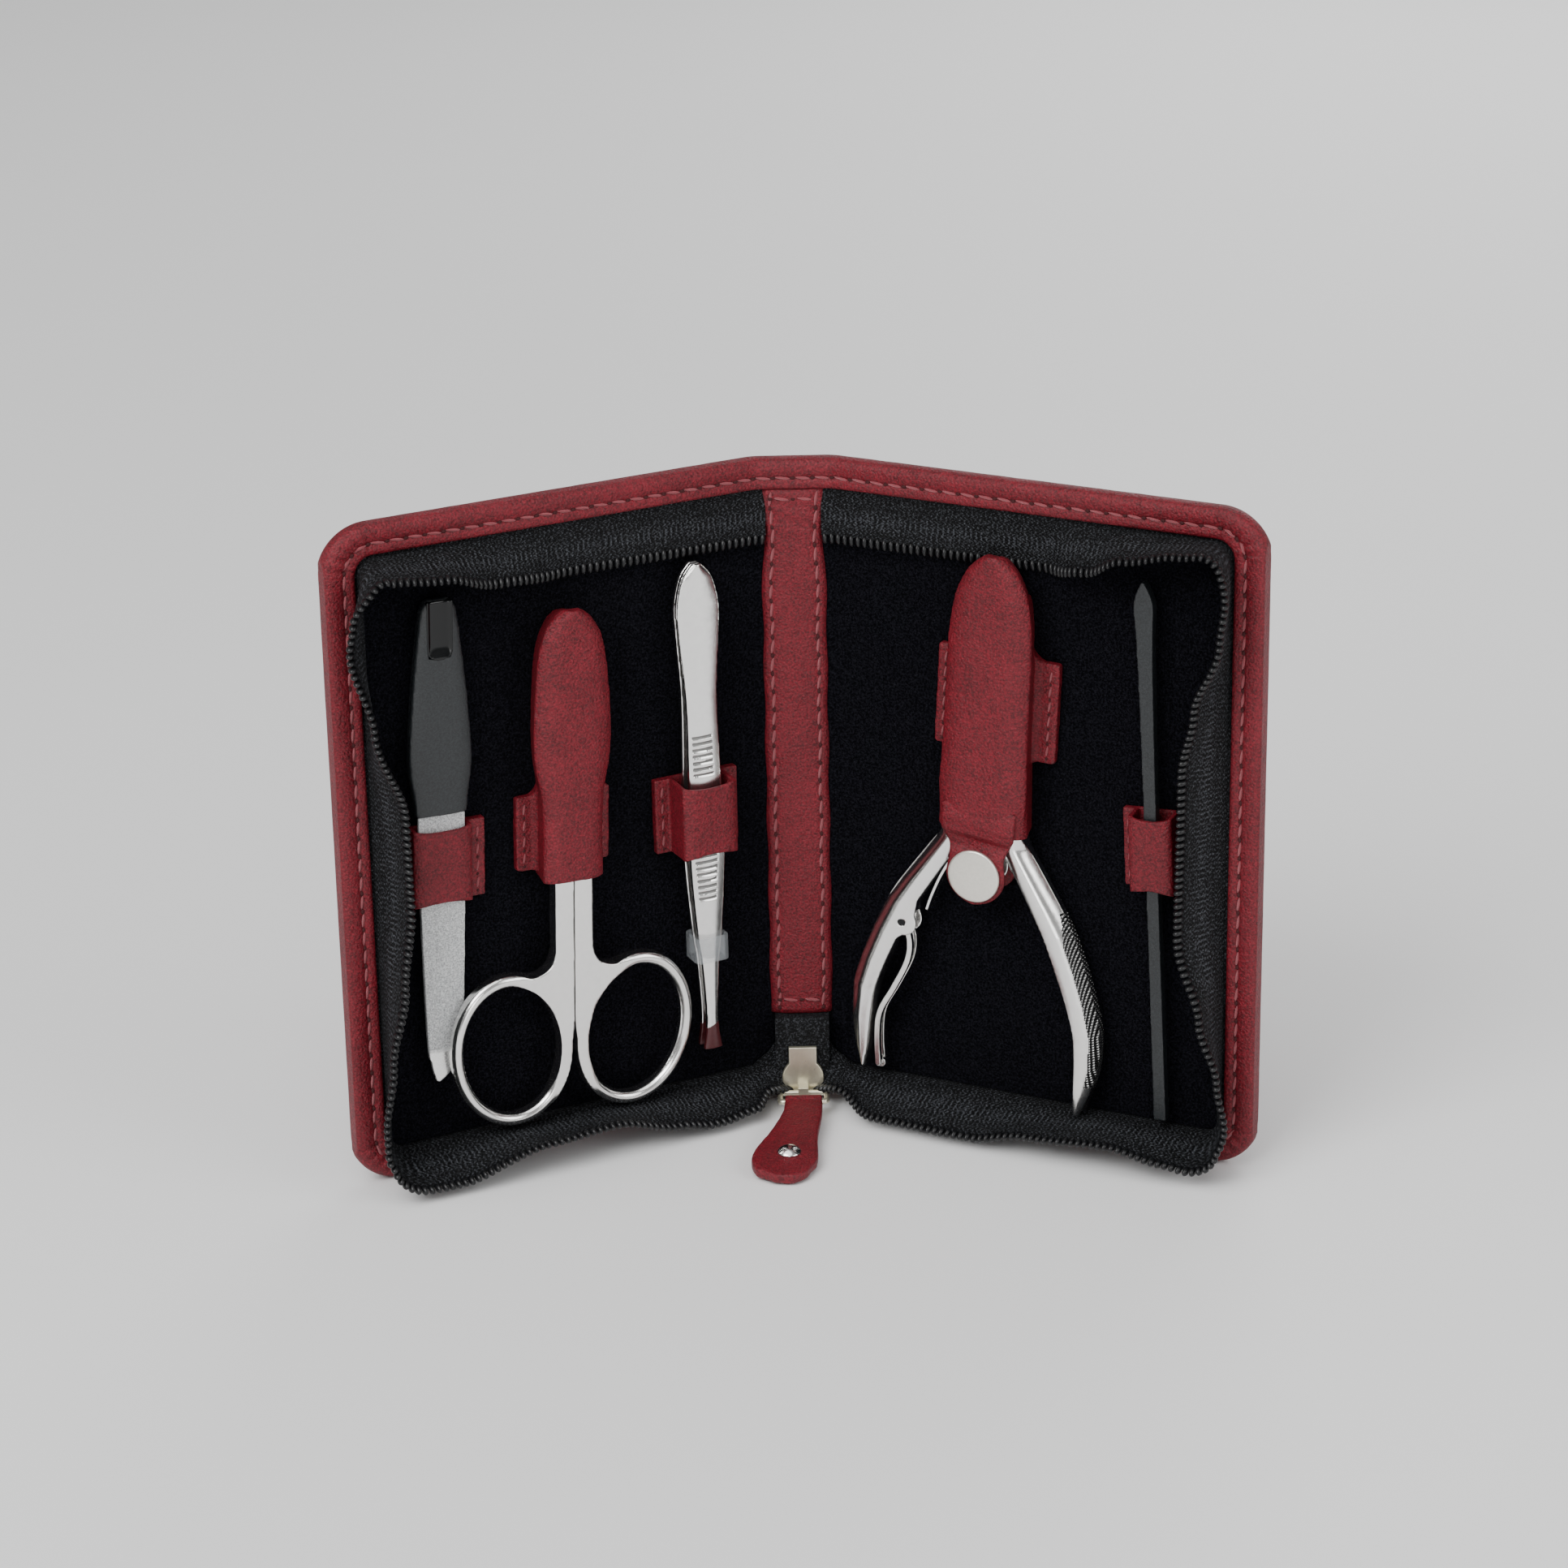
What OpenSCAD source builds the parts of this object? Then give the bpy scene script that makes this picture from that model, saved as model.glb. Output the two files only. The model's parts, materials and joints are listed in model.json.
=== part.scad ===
// Manicure set case: two zipped leather covers on a spine, with five tools held inside.
// The case stands open like a book. Origin at the middle of the spine's foot, +Z up,
// covers opening towards -Y. Each cover is drawn in its own frame: u runs outward from
// the fold, v up, and w out of the lining towards the viewer.

/* [Case] */
// Height of the case from its lower to its upper edge
case_h = 118; // [114:1:122]
// Width of each cover from the fold to its outer edge
cover_w = 78; // [76:1:84]
// Width of the spine between the two folds
spine_w = 13; // [12:0.5:15]
// Angle that each cover is swung forward from flat where the case stands
stand_angle = 26; // [20:1:32]
// Radius of the covers' outer corners
corner_r = 8.5; // [7.5:0.5:11]
// Thickness of the leather
leather_t = 0.8; // [0.6:0.1:1]
// Thickness of the stiffening boards
board_t = 1.2; // [1:0.1:1.5]
// Thickness of the velvet lining
lining_t = 0.5; // [0.4:0.1:0.7]
// Width of the turned hem around the inside
hem_w = 5.2; // [4.8:0.1:6]
// Width of the leather strip inside the spine
strip_w = 11; // [9:0.5:11.5]
// Height of the strip's lower end above the floor
strip_low = 15.5; // [14.5:0.5:20]

/* [Zip] */
// Thickness of the zip tape
tape_t = 0.5; // [0.4:0.1:0.7]
// Width of the tape that lies under the hem
tape_margin = 3.6; // [2.5:0.1:3.8]
// Width of one coil row
coil_w = 2.1; // [1.8:0.1:2.4]
// Height of the coil across the tape
coil_t = 1.5; // [1.2:0.1:1.8]
// Width of the closed tape end below the strip
end_tape_w = 9.6; // [8:0.2:9.8]
// Depth of the closed tape in front of the lining
end_tape_depth = 2.6; // [2.4:0.1:3]
// Width of the slider over its round part
slider_w = 7.4; // [6.8:0.1:8]
// Height of the slider
slider_h = 9.6; // [9:0.1:10]
// Width of the slider's neck
slider_neck = 5; // [4:0.1:5.4]
// Thickness of each slider plate
slider_plate_t = 0.9; // [0.7:0.1:1]
// Travel of the slider up the closed tape
slider_travel = 2; // [1:0.1:2]
// Radius of the pull ring's wire
ring_wire_r = 0.5; // [0.4:0.05:0.6]
// Width of the pull ring over its wire centres
ring_w = 8.2; // [8:0.1:9]
// Length of the pull ring between its bars
ring_l = 5.6; // [5:0.1:7]
// Length of the leather pull from the ring to its round end
pull_l = 27; // [24:0.5:32]
// Greatest width of the leather pull
pull_w = 11.2; // [10:0.1:12]
// Thickness of the leather pull
pull_t = 1.8; // [1.6:0.1:2]
// Diameter of the pull's domed rivet
rivet_d = 4.4; // [4:0.1:5]

/* [Nail file] */
// Length of the file handle
file_handle_l = 37.8; // [34:0.2:39]
// Greatest width of the file handle
file_handle_w = 11.2; // [10.4:0.1:11.4]
// Thickness of the file handle
file_handle_t = 2.2; // [2:0.1:2.4]
// Length of the file blade below the handle
file_blade_l = 48.8; // [46:0.2:49]
// Width of the file blade at the handle
file_blade_w = 8.4; // [7.6:0.1:8.4]
// Thickness of the file blade
file_blade_t = 0.9; // [0.7:0.1:1.1]

/* [Scissors] */
// Length of the scissor blades from the screw
blade_l = 32; // [29:0.5:32]
// Length of the shanks and rings below the screw
shank_l = 55.5; // [54:0.5:56]
// Inner width of the finger rings
finger_w = 17.8; // [17:0.1:18.2]
// Inner length of the finger rings
finger_l = 24; // [23:0.1:24.4]
// Width of the finger rings' metal
finger_t = 2.1; // [1.8:0.1:2.3]
// Thickness of the closed scissors
scissors_t = 3; // [2.6:0.1:3.2]
// Radius of the scissor screw's shank
screw_r = 1.2; // [1:0.05:1.4]

/* [Tweezers] */
// Length of the tweezers
tweezers_l = 89.5; // [87:0.5:90]
// Greatest width of the tweezers
tweezers_w = 7.6; // [7:0.1:7.8]
// Thickness of a tweezer arm
arm_t = 0.9; // [0.7:0.1:1]
// Opening between the arms at the tips
tip_gap = 1.6; // [1.4:0.1:1.8]
// Height of the clear sleeve
sleeve_h = 4.6; // [4:0.1:5]

/* [Nipper] */
// Length of the nipper's handles below its pin
handle_l = 60.6; // [60:0.1:60.8]
// Distance from the pin to the widest part of each handle
handle_spread = 21.2; // [20:0.1:21.6]
// Length of the jaws above the pin
jaw_l = 33.5; // [32:0.5:34]
// Thickness of the nipper
nipper_t = 4.6; // [4:0.1:4.8]
// Radius of the nipper's lap joint
lap_r = 5.6; // [5:0.1:5.8]
// Radius of the nipper's pin
nipper_pin_r = 1.6; // [1.4:0.05:1.8]
// Opening of each jaw at rest
jaw_open = 4; // [3:0.5:4]
// Radius of the snap cap
snap_r = 4.7; // [4:0.1:5]

/* [Cuticle stick] */
// Length of the cuticle stick
stick_l = 97; // [94:0.5:98]
// Width of the stick's shaft
stick_w = 2.2; // [2:0.1:2.6]
// Width of the stick's spade
spade_w = 3.4; // [3:0.1:3.8]
// Thickness of the stick
stick_t = 1.9; // [1.6:0.1:2.1]

/* [Hidden] */
round_fn = 64;
small_fn = 32;
eps = 0.01;

// Small clearances
fit = 0.06;
seat = 0.05;
soft_gap = 0.3;

// Levels across a cover, as depths w above the lining
body_t = leather_t + board_t + lining_t;
hem_low = tape_t;
hem_top = hem_low + leather_t;
fold_r = body_t;

// Depths of the tools above the lining: the file's handle slides out over the hem, the scissors
// lie over the file's blade, and the tweezers and stick clear the flat stretch of the zip
tool_low = 2.3;
file_low = hem_top + soft_gap / 2;
scissors_low = file_low + (file_handle_t + file_blade_t) / 2 + soft_gap;

// Colours
leather_red = [0.55, 0.08, 0.12];
velvet_black = [0.03, 0.03, 0.05];
tape_black = [0.1, 0.1, 0.11];
board_grey = [0.6, 0.57, 0.5];
bright_steel = [0.85, 0.85, 0.86];
nickel = [0.8, 0.78, 0.72];
slate_grey = [0.2, 0.22, 0.24];

// Curves and outlines
function blended(a, b, c, d, t) =
  0.5 * (2 * b + (c - a) * t + (2 * a - 5 * b + 4 * c - d) * t * t + (3 * b - a - 3 * c + d) * t * t * t);
function smoothed(p, n) = [
  for (i = [0 : len(p) - 2], k = [0 : n - 1])
    blended(p[max(i - 1, 0)], p[i], p[i + 1], p[min(i + 2, len(p) - 1)], k / n),
  p[len(p) - 1]];
function heading(p, i) =
  let (a = p[max(i - 1, 0)], b = p[min(i + 1, len(p) - 1)]) atan2(b[1] - a[1], b[0] - a[0]);
function one_side(p, s) = [
  for (i = [0 : len(p) - 1])
    [p[i][0] - s * p[i][2] / 2 * sin(heading(p, i)), p[i][1] + s * p[i][2] / 2 * cos(heading(p, i))]];
function backwards(p) = [for (i = [len(p) - 1 : -1 : 0]) p[i]];
function ribbon(p) = concat(one_side(p, 1), backwards(one_side(p, -1)));
// The room inside a sheath: its rows less the walls, open below and closed above
function hollow(p) = concat([[p[0][0], p[0][1] - 1, p[0][2] - 2 * leather_t]],
  [for (i = [0 : len(p) - 2]) [p[i][0], p[i][1], p[i][2] - 2 * leather_t]]);
function eased(t) = t * t * (3 - 2 * t);

// A strip of even or changing width along a centre line of [x, z, width] rows
module strip_shape(rows, steps = 4) {
  polygon(ribbon(smoothed(rows, steps)));
}

// Lays flat outlines upright between two depths in front of the lining
module slab(low, high) {
  for (k = [0 : $children - 1])
    translate([0, -low, 0])
      rotate([90, 0, 0])
        linear_extrude(high - low) children(k);
}

// Draws a side profile of [w, z] points and runs it across a width
module profile(width) {
  translate([-width / 2, 0, 0])
    rotate([90, 0, 90])
      linear_extrude(width) mirror([1, 0]) children();
}

module on_right() {
  translate([spine_w / 2, 0, 0])
    rotate([0, 0, -stand_angle]) children();
}

module on_left() {
  mirror([1, 0, 0]) on_right() children();
}

// Puts a tool's own frame at (u, v) on a cover, leaning by an angle
module placed(place) {
  translate([place[0], 0, place[1]])
    rotate([0, place[2], 0]) children();
}

module rod(radius, low, high, x = 0, z = 0) {
  translate([x, -low, z])
    rotate([90, 0, 0])
      cylinder(r = radius, h = high - low, $fn = small_fn);
}

// Places of the tools: [u, v, lean]. The file and the stick keep their distance from the
// outer edge, the tweezers and the nipper theirs from the fold
file_place = [cover_w - 15.9, 17.4, -1.8];
scissors_place = [0.3 * cover_w + 14.6, 62.5, -1.8];
tweezers_place = [12.6, 13.4, 0.5];
nipper_place = [30.5, 68, 3];
stick_place = [cover_w - 15.5, 7.8, -2.6];

// Covers
module cover_face(inset) {
  r = corner_r - inset;
  translate([0, inset]) square([cover_w - corner_r, case_h - 2 * inset]);
  translate([0, corner_r]) square([cover_w - inset, case_h - 2 * corner_r]);
  for (v = [corner_r, case_h - corner_r])
    translate([cover_w - corner_r, v]) circle(r, $fn = round_fn);
}

module fold_relief() {
  translate([0, 0, -1]) cylinder(r = fold_r + fit, h = case_h + 2, $fn = round_fn);
}

module cover_leather() {
  difference() {
    union() {
      slab(-body_t, leather_t - body_t) cover_face(0);
      slab(-body_t, hem_top) difference() {
        cover_face(0);
        cover_face(leather_t);
      }
      slab(hem_low, hem_top) difference() {
        cover_face(0);
        cover_face(hem_w);
      }
    }
    fold_relief();
  }
}

module cover_layer(low, high) {
  difference() {
    slab(low, high) cover_face(leather_t);
    fold_relief();
  }
}

module left_leather() { color(leather_red) on_left() cover_leather(); }
module right_leather() { color(leather_red) on_right() cover_leather(); }
module left_board() { color(board_grey) on_left() cover_layer(leather_t - body_t, -lining_t); }
module right_board() { color(board_grey) on_right() cover_layer(leather_t - body_t, -lining_t); }
module left_lining() { color(velvet_black) on_left() cover_layer(-lining_t, 0); }
module right_lining() { color(velvet_black) on_right() cover_layer(-lining_t, 0); }

// Spine
module fold_bead(side) {
  translate([side * spine_w / 2, 0, 0]) difference() {
    cylinder(r = fold_r, h = case_h, $fn = round_fn);
    translate([-fold_r - 1, -fold_r - 1, -1]) cube([2 * fold_r + 2, fold_r + 1, case_h + 2]);
  }
}

module spine_layer(low, high, bottom, top) {
  difference() {
    slab(low, high) translate([-spine_w / 2, bottom]) square([spine_w, top - bottom]);
    for (side = [-1, 1]) translate([side * spine_w / 2, 0, 0]) fold_relief();
  }
}

module spine_leather() {
  color(leather_red) {
    spine_layer(-body_t, leather_t - body_t, 0, case_h);
    for (v = [0, case_h - leather_t]) spine_layer(-body_t, 0, v, v + leather_t);
    for (v = [0, case_h - leather_t])
      slab(0, hem_top) translate([-spine_w / 2, v]) square([spine_w, leather_t]);
    for (v = [0, case_h - hem_w])
      slab(hem_low, hem_top) translate([-spine_w / 2, v]) square([spine_w, hem_w]);
  }
}

module spine_board() {
  color(board_grey) spine_layer(leather_t - body_t, -lining_t, leather_t, case_h - leather_t);
}

module spine_lining() {
  color(velvet_black) spine_layer(-lining_t, 0, leather_t, case_h - leather_t);
}

module spine_strip() {
  color(leather_red) slab(0, leather_t)
    translate([-strip_w / 2, strip_low]) square([strip_w, case_h - hem_w - seat - strip_low]);
}

module left_fold() { color(leather_red) fold_bead(-1); }
module right_fold() { color(leather_red) fold_bead(1); }

// Zip tapes: [share of the way round, tilt out of the cover's plane, visible width] rows,
// from the spine's head round the cover to the spine's foot
left_lay = [[0, 8, 8.2], [0.13, 6, 8.1], [0.185, 34, 8], [0.235, 70, 9], [0.274, 78, 9.2],
  [0.315, 122, 9.6], [0.335, 127, 9.8], [0.392, 104, 9.8], [0.457, 73, 9.5], [0.523, 72, 9.5],
  [0.584, 84, 9.6], [0.637, 103, 10], [0.686, 114, 10.8], [0.735, 112, 12.6], [0.817, 88, 12.6],
  [0.87, 86, 12.2], [0.92, 102, 12.2], [0.948, 110, 12.4], [0.98, 106, 11.6], [1, 108, 7.6]];
right_lay = [[0, 8, 8.2], [0.15, 5, 8.3], [0.185, 40, 8.5], [0.22, 74, 9.2], [0.26, 88, 9.6],
  [0.31, 106, 9.8], [0.34, 101, 9.8], [0.392, 74, 9.8], [0.437, 62, 10.2], [0.56, 61, 10.4],
  [0.617, 86, 10.2], [0.66, 107, 10.6], [0.695, 116, 11.2], [0.74, 101, 12.2], [0.78, 93, 12.2],
  [0.84, 97, 12.6], [0.895, 110, 13.2], [0.96, 112, 12.8], [1, 108, 7.6]];
root_r = corner_r - hem_w - tape_t - seat;
tape_start = fold_r + soft_gap;
straight_u = cover_w - corner_r - tape_start;
straight_v = case_h - 2 * corner_r;
arc_l = root_r * PI / 2;
way = 2 * straight_u + straight_v + 2 * arc_l;
long_steps = 14;
arc_steps = 5;
function run(from, length, steps) = [for (k = [0 : steps - 1]) from + length * k / steps];
stops = concat(run(0, straight_u, long_steps), run(straight_u, arc_l, arc_steps),
  run(straight_u + arc_l, straight_v, long_steps + 4),
  run(straight_u + arc_l + straight_v, arc_l, arc_steps),
  run(way - straight_u, straight_u, long_steps), [way]);
function keyed(lay, share, column) =
  let (i = max([for (k = [0 : len(lay) - 2]) if (lay[k][0] <= share) k]),
       t = (share - lay[i][0]) / (lay[i + 1][0] - lay[i][0]))
  lay[i][column] + (lay[i + 1][column] - lay[i][column]) * eased(t);
// A stop on the way round: [u, v, direction outward]
function stop_at(s) =
  s < straight_u ? [tape_start + s, case_h - corner_r, 90]
  : s < straight_u + arc_l ? [cover_w - corner_r, case_h - corner_r, 90 - (s - straight_u) / arc_l * 90]
  : s < straight_u + arc_l + straight_v ? [cover_w - corner_r, case_h - corner_r - (s - straight_u - arc_l), 0]
  : s < way - straight_u ? [cover_w - corner_r, corner_r, -(s - straight_u - arc_l - straight_v) / arc_l * 90]
  : [cover_w - corner_r - (s - way + straight_u), corner_r, -90];
function lay_tilt(lay, s) =
  let (tilt = keyed(lay, s / way, 1), reach = keyed(lay, s / way, 2),
       down = sin(stop_at(s)[2]),
       lowest = acos(-(corner_r - root_r - coil_t) / (reach + coil_w / 2)))
  down < 0 ? min(tilt, lowest) : tilt;
// A point of the section at a stop, given as [outward, w]
function tape_point(s, p) =
  let (stop = stop_at(s), r = root_r + p[0])
  [stop[0] + r * cos(stop[2]), -p[1], stop[1] + r * sin(stop[2])];
// The tape rises beside the hem over its first stretch and leans by its full tilt above it
knee_l = hem_top + soft_gap;
function rise(tilt) = min(tilt, 88);
function edge_at(tilt, reach) =
  knee_l * [-cos(rise(tilt)), sin(rise(tilt))] + (reach - knee_l) * [-cos(tilt), sin(tilt)];
function tape_ring(lay, s) =
  let (tilt = lay_tilt(lay, s), up = rise(tilt), knee = edge_at(up, knee_l),
       edge = edge_at(tilt, keyed(lay, s / way, 2) - coil_w / 2), bend = (up + tilt) / 2)
  [for (p = [[tape_margin, 0], [0, 0], knee, edge, edge + tape_t * [sin(tilt), cos(tilt)],
    knee + tape_t * [sin(bend), cos(bend)], [tape_t * tan(up / 2), tape_t], [tape_margin, tape_t]])
    tape_point(s, p)];
function coil_ring(lay, s) =
  let (tilt = lay_tilt(lay, s), reach = keyed(lay, s / way, 2) - coil_w / 2,
       near = edge_at(tilt, reach + seat), far = edge_at(tilt, reach + coil_w),
       low = (tape_t - coil_t) / 2 * [sin(tilt), cos(tilt)], rise_by = coil_t * [sin(tilt), cos(tilt)])
  [for (p = [near + low, far + low, far + low + rise_by, near + low + rise_by]) tape_point(s, p)];

// A closed skin over rings of points, with its two end faces given as triangles
module skinned(rings, ends) {
  n = len(rings[0]);
  last = (len(rings) - 1) * n;
  polyhedron(
    points = [for (ring = rings, p = ring) p],
    faces = concat(
      [for (i = [0 : len(rings) - 2], k = [0 : n - 1]) [i * n + k, (i + 1) * n + k, i * n + (k + 1) % n]],
      [for (i = [0 : len(rings) - 2], k = [0 : n - 1])
        [i * n + (k + 1) % n, (i + 1) * n + k, (i + 1) * n + (k + 1) % n]],
      ends,
      [for (f = ends) [last + f[2], last + f[1], last + f[0]]]));
}

module tape(lay) {
  skinned([for (s = stops) tape_ring(lay, s)],
    [[0, 1, 6], [0, 6, 7], [1, 2, 5], [1, 5, 6], [2, 3, 4], [2, 4, 5]]);
}

module coil(lay) {
  skinned([for (s = stops) coil_ring(lay, s)], [[0, 1, 2], [0, 2, 3]]);
}

module left_tape() { color(tape_black) on_left() tape(left_lay); }
module right_tape() { color(tape_black) on_right() tape(right_lay); }
module left_coil() { color(tape_black) on_left() coil(left_lay); }
module right_coil() { color(tape_black) on_right() coil(right_lay); }

// Closed end of the zip, folded back under the strip
slider_low = 0.6;
divider_w = 1.6;
divider_low = 0.9;
divider_h = 2;
end_root_h = 2;
module zip_end_tape() {
  top = strip_low - seat;
  color(tape_black) {
    difference() {
      slab(end_tape_depth, end_tape_depth + tape_t)
        translate([-end_tape_w / 2, slider_low]) square([end_tape_w, top - slider_low]);
      slab(end_tape_depth - 1, end_tape_depth + tape_t + 1)
        translate([-divider_w / 2 - soft_gap, 0])
          square([divider_w + 2 * soft_gap, slider_low + divider_low + divider_h + slider_travel + soft_gap]);
    }
    slab(0, end_tape_depth) translate([-end_tape_w / 2, top - end_root_h]) square([end_tape_w, end_root_h]);
  }
}

// Slider: two plates joined by the divider
plate_gap = 0.2;
front_plate_low = end_tape_depth + tape_t + plate_gap;
rear_plate_high = end_tape_depth - plate_gap;
bail_l = 2.4;
bail_w = 1.8;
bail_axis = [front_plate_low + slider_plate_t + bail_l / 2, slider_low + 1.4];
module slider_face() {
  translate([0, slider_low + slider_w / 2]) circle(d = slider_w, $fn = round_fn);
  translate([-slider_neck / 2, slider_low + slider_w / 2]) square([slider_neck, slider_h - slider_w / 2]);
}

module slider_body() {
  color(nickel) {
    slab(front_plate_low, front_plate_low + slider_plate_t) slider_face();
    slab(rear_plate_high - slider_plate_t, rear_plate_high) slider_face();
    slab(rear_plate_high - eps, front_plate_low + eps)
      translate([-divider_w / 2, slider_low + divider_low]) square([divider_w, divider_h]);
  }
}

module slider_bail() {
  color(nickel) difference() {
    translate([-bail_w / 2, -front_plate_low - slider_plate_t - bail_l, slider_low])
      cube([bail_w, bail_l, 2.8]);
    translate([-bail_w, -bail_axis[0], bail_axis[1]])
      rotate([0, 90, 0]) cylinder(r = ring_wire_r + fit, h = 2 * bail_w, $fn = small_fn);
  }
}

// Pull ring: a rounded rectangle of wire, from the bail to the leather pull
ring_rise = 0.9;
ring_slope = asin(ring_rise / ring_l);
ring_corner = 0.75;
module ring_frame() {
  translate([0, -bail_axis[0], bail_axis[1]]) rotate([-ring_slope, 0, 0]) children();
}

module pull_ring() {
  bar = ring_w - 2 * ring_corner;
  leg = ring_l - 2 * ring_corner;
  color(nickel) ring_frame() {
    for (y = [0, -ring_l])
      translate([-bar / 2, y, 0]) rotate([0, 90, 0]) cylinder(r = ring_wire_r, h = bar, $fn = small_fn);
    for (x = [-ring_w / 2, ring_w / 2])
      translate([x, -ring_corner, 0]) rotate([90, 0, 0]) cylinder(r = ring_wire_r, h = leg, $fn = small_fn);
    for (c = [[1, 0, 0], [-1, 0, 90], [-1, 1, 180], [1, 1, 270]])
      translate([c[0] * (ring_w / 2 - ring_corner), -ring_corner - c[1] * leg, 0])
        rotate([0, 0, c[2]]) rotate_extrude(angle = 90, $fn = small_fn)
          translate([ring_corner, 0]) circle(ring_wire_r, $fn = small_fn);
  }
}

// Leather pull, folded round the ring's front bar, leaning aside as it lies
pull_bar = [bail_axis[0] + ring_l * cos(ring_slope), bail_axis[1] + ring_rise];
pull_lean = 3.6;
pull_lift = 0.35;
pull_slope = asin((pull_bar[1] - pull_t / 2 - pull_lift) / pull_l);
pull_top_w = ring_w - 2 * ring_corner - 2 * seat;
pull_rows = [[0, 0, pull_top_w], [-0.3, 5, pull_top_w + 0.3], [-1.8, 0.45 * pull_l, pull_top_w + 1.8],
  [-3.1, 0.68 * pull_l, pull_w - 0.2], [-3.7, 0.82 * pull_l, pull_w - 0.2],
  [-3.5, 0.93 * pull_l, 0.72 * pull_w], [-pull_lean, pull_l, 0.3 * pull_w]];
rivet_at = [-2.7, 0.7 * pull_l];
rivet_shank_r = 0.8;
rivet_head_t = 0.3;
module pull_frame() {
  translate([0, -pull_bar[0], pull_bar[1]]) rotate([pull_slope, 0, 0]) children();
}

module pull_tab() {
  fold_end_r = pull_t / 2 + 0.35;
  color(leather_red) pull_frame() difference() {
    union() {
      translate([0, 0, -pull_t / 2]) linear_extrude(pull_t) mirror([0, 1]) strip_shape(pull_rows, 5);
      translate([-pull_top_w / 2, 0, 0])
        rotate([0, 90, 0]) cylinder(r = fold_end_r, h = pull_top_w, $fn = small_fn);
    }
    translate([-pull_top_w, 0, 0])
      rotate([0, 90, 0]) cylinder(r = ring_wire_r + fit, h = 2 * pull_top_w, $fn = small_fn);
    translate([rivet_at[0], -rivet_at[1], -pull_t])
      cylinder(r = rivet_shank_r + fit / 2, h = 2 * pull_t, $fn = small_fn);
    translate([rivet_at[0], -rivet_at[1], -pull_t])
      cylinder(d = rivet_d + seat, h = pull_t / 2 + rivet_head_t, $fn = small_fn);
  }
}

module pull_rivet() {
  dome_h = 1.1;
  dome_r = (rivet_d * rivet_d / 4 + dome_h * dome_h) / (2 * dome_h);
  color(bright_steel) pull_frame() translate([rivet_at[0], -rivet_at[1], 0]) {
    translate([0, 0, -pull_t / 2]) cylinder(d = rivet_d, h = rivet_head_t - fit, $fn = small_fn);
    translate([0, 0, -pull_t / 2]) cylinder(r = rivet_shank_r, h = pull_t + 0.1, $fn = small_fn);
    translate([0, 0, pull_t / 2 + eps]) intersection() {
      translate([0, 0, dome_h - dome_r]) sphere(dome_r, $fn = small_fn);
      cylinder(d = rivet_d + 1, h = dome_h + 1, $fn = small_fn);
    }
  }
}

// A leather loop: a raised band with an under-layer, and a stitched tab on each side listed
module strap_loop(inner_w, inner_h, tab_w, low, high, tabs = [-1, 1]) {
  translate([0, 0, low]) linear_extrude(high - low) mirror([0, 1]) {
    for (side = [-1, 1])
      translate([side * (inner_w / 2 + leather_t / 2) - leather_t / 2, 0]) square([leather_t, inner_h]);
    for (side = tabs)
      translate([side * (inner_w / 2 + leather_t + tab_w / 2) - tab_w / 2, 0]) square([tab_w, 2 * leather_t]);
    translate([-inner_w / 2 - leather_t, inner_h]) square([inner_w + 2 * leather_t, leather_t]);
    translate([-inner_w / 2, 0]) square([inner_w, leather_t]);
  }
}

// Nail file, drawn from its tip
file_mid = file_low + file_handle_t / 2;
loop_low = 32.5;
loop_high = 46.5;
file_loop_w = file_blade_w + 2 * soft_gap;
tang_w = 5;
tang_l = 9;
function file_rows() =
  let (top = file_blade_l + file_handle_l, foot = file_blade_l)
  [[0, foot, 0.8 * file_handle_w], [0, foot + 3.5, 0.87 * file_handle_w], [0, foot + 9.7, file_handle_w],
   [0, foot + 21, 0.87 * file_handle_w], [0, top - 5, 0.64 * file_handle_w],
   [0, top - 1.4, 0.53 * file_handle_w], [0, top, 0.34 * file_handle_w]];

module file_loop() {
  color(leather_red) on_left() placed(file_place)
    strap_loop(file_loop_w, file_mid + file_blade_t / 2 + soft_gap, 3, loop_low, loop_high, [-1]);
}

module file_handle() {
  groove_w = 4;
  groove_l = 10;
  groove_d = 0.8;
  color(slate_grey) on_left() placed(file_place) difference() {
    slab(file_low, file_low + file_handle_t) strip_shape(file_rows());
    slab(file_mid - file_blade_t / 2 - fit, file_mid + file_blade_t / 2 + fit)
      translate([-tang_w / 2 - fit, file_blade_l - 1]) square([tang_w + 2 * fit, tang_l + 1 + fit]);
    slab(file_low + file_handle_t - groove_d, file_low + file_handle_t + 1)
      translate([-groove_w / 2, file_blade_l + file_handle_l - groove_l]) square([groove_w, groove_l + 1]);
  }
}

module file_blade() {
  color(bright_steel) on_left() placed(file_place)
    slab(file_mid - file_blade_t / 2, file_mid + file_blade_t / 2) {
      strip_shape([[1.4, 0, 0.6], [0.6, 2.6, 4], [0, 6.5, 0.74 * file_blade_w], [0, 26, 0.92 * file_blade_w],
        [0, file_blade_l - seat, file_blade_w]]);
      translate([-tang_w / 2, file_blade_l - 1]) square([tang_w, tang_l + 1 - seat]);
    }
}

// Scissors, drawn from the screw, with the finger rings below
layer_gap = 0.08;
layer_t = (scissors_t - layer_gap) / 2;
ring_at = [finger_w / 2 + finger_t + 0.5, finger_l / 2 + finger_t - shank_l];
ring_tilt = -7.8;
hub_r = 4.2;
shank_w = 3.5;
split = 0.06;
module finger_ring(grow) {
  sides = 48;
  translate(ring_at) rotate(ring_tilt)
    polygon([for (k = [1 : sides])
      [(finger_w / 2 + grow) * cos(k * 360 / sides), (finger_l / 2 + grow) * sin(k * 360 / sides)]]);
}

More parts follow.
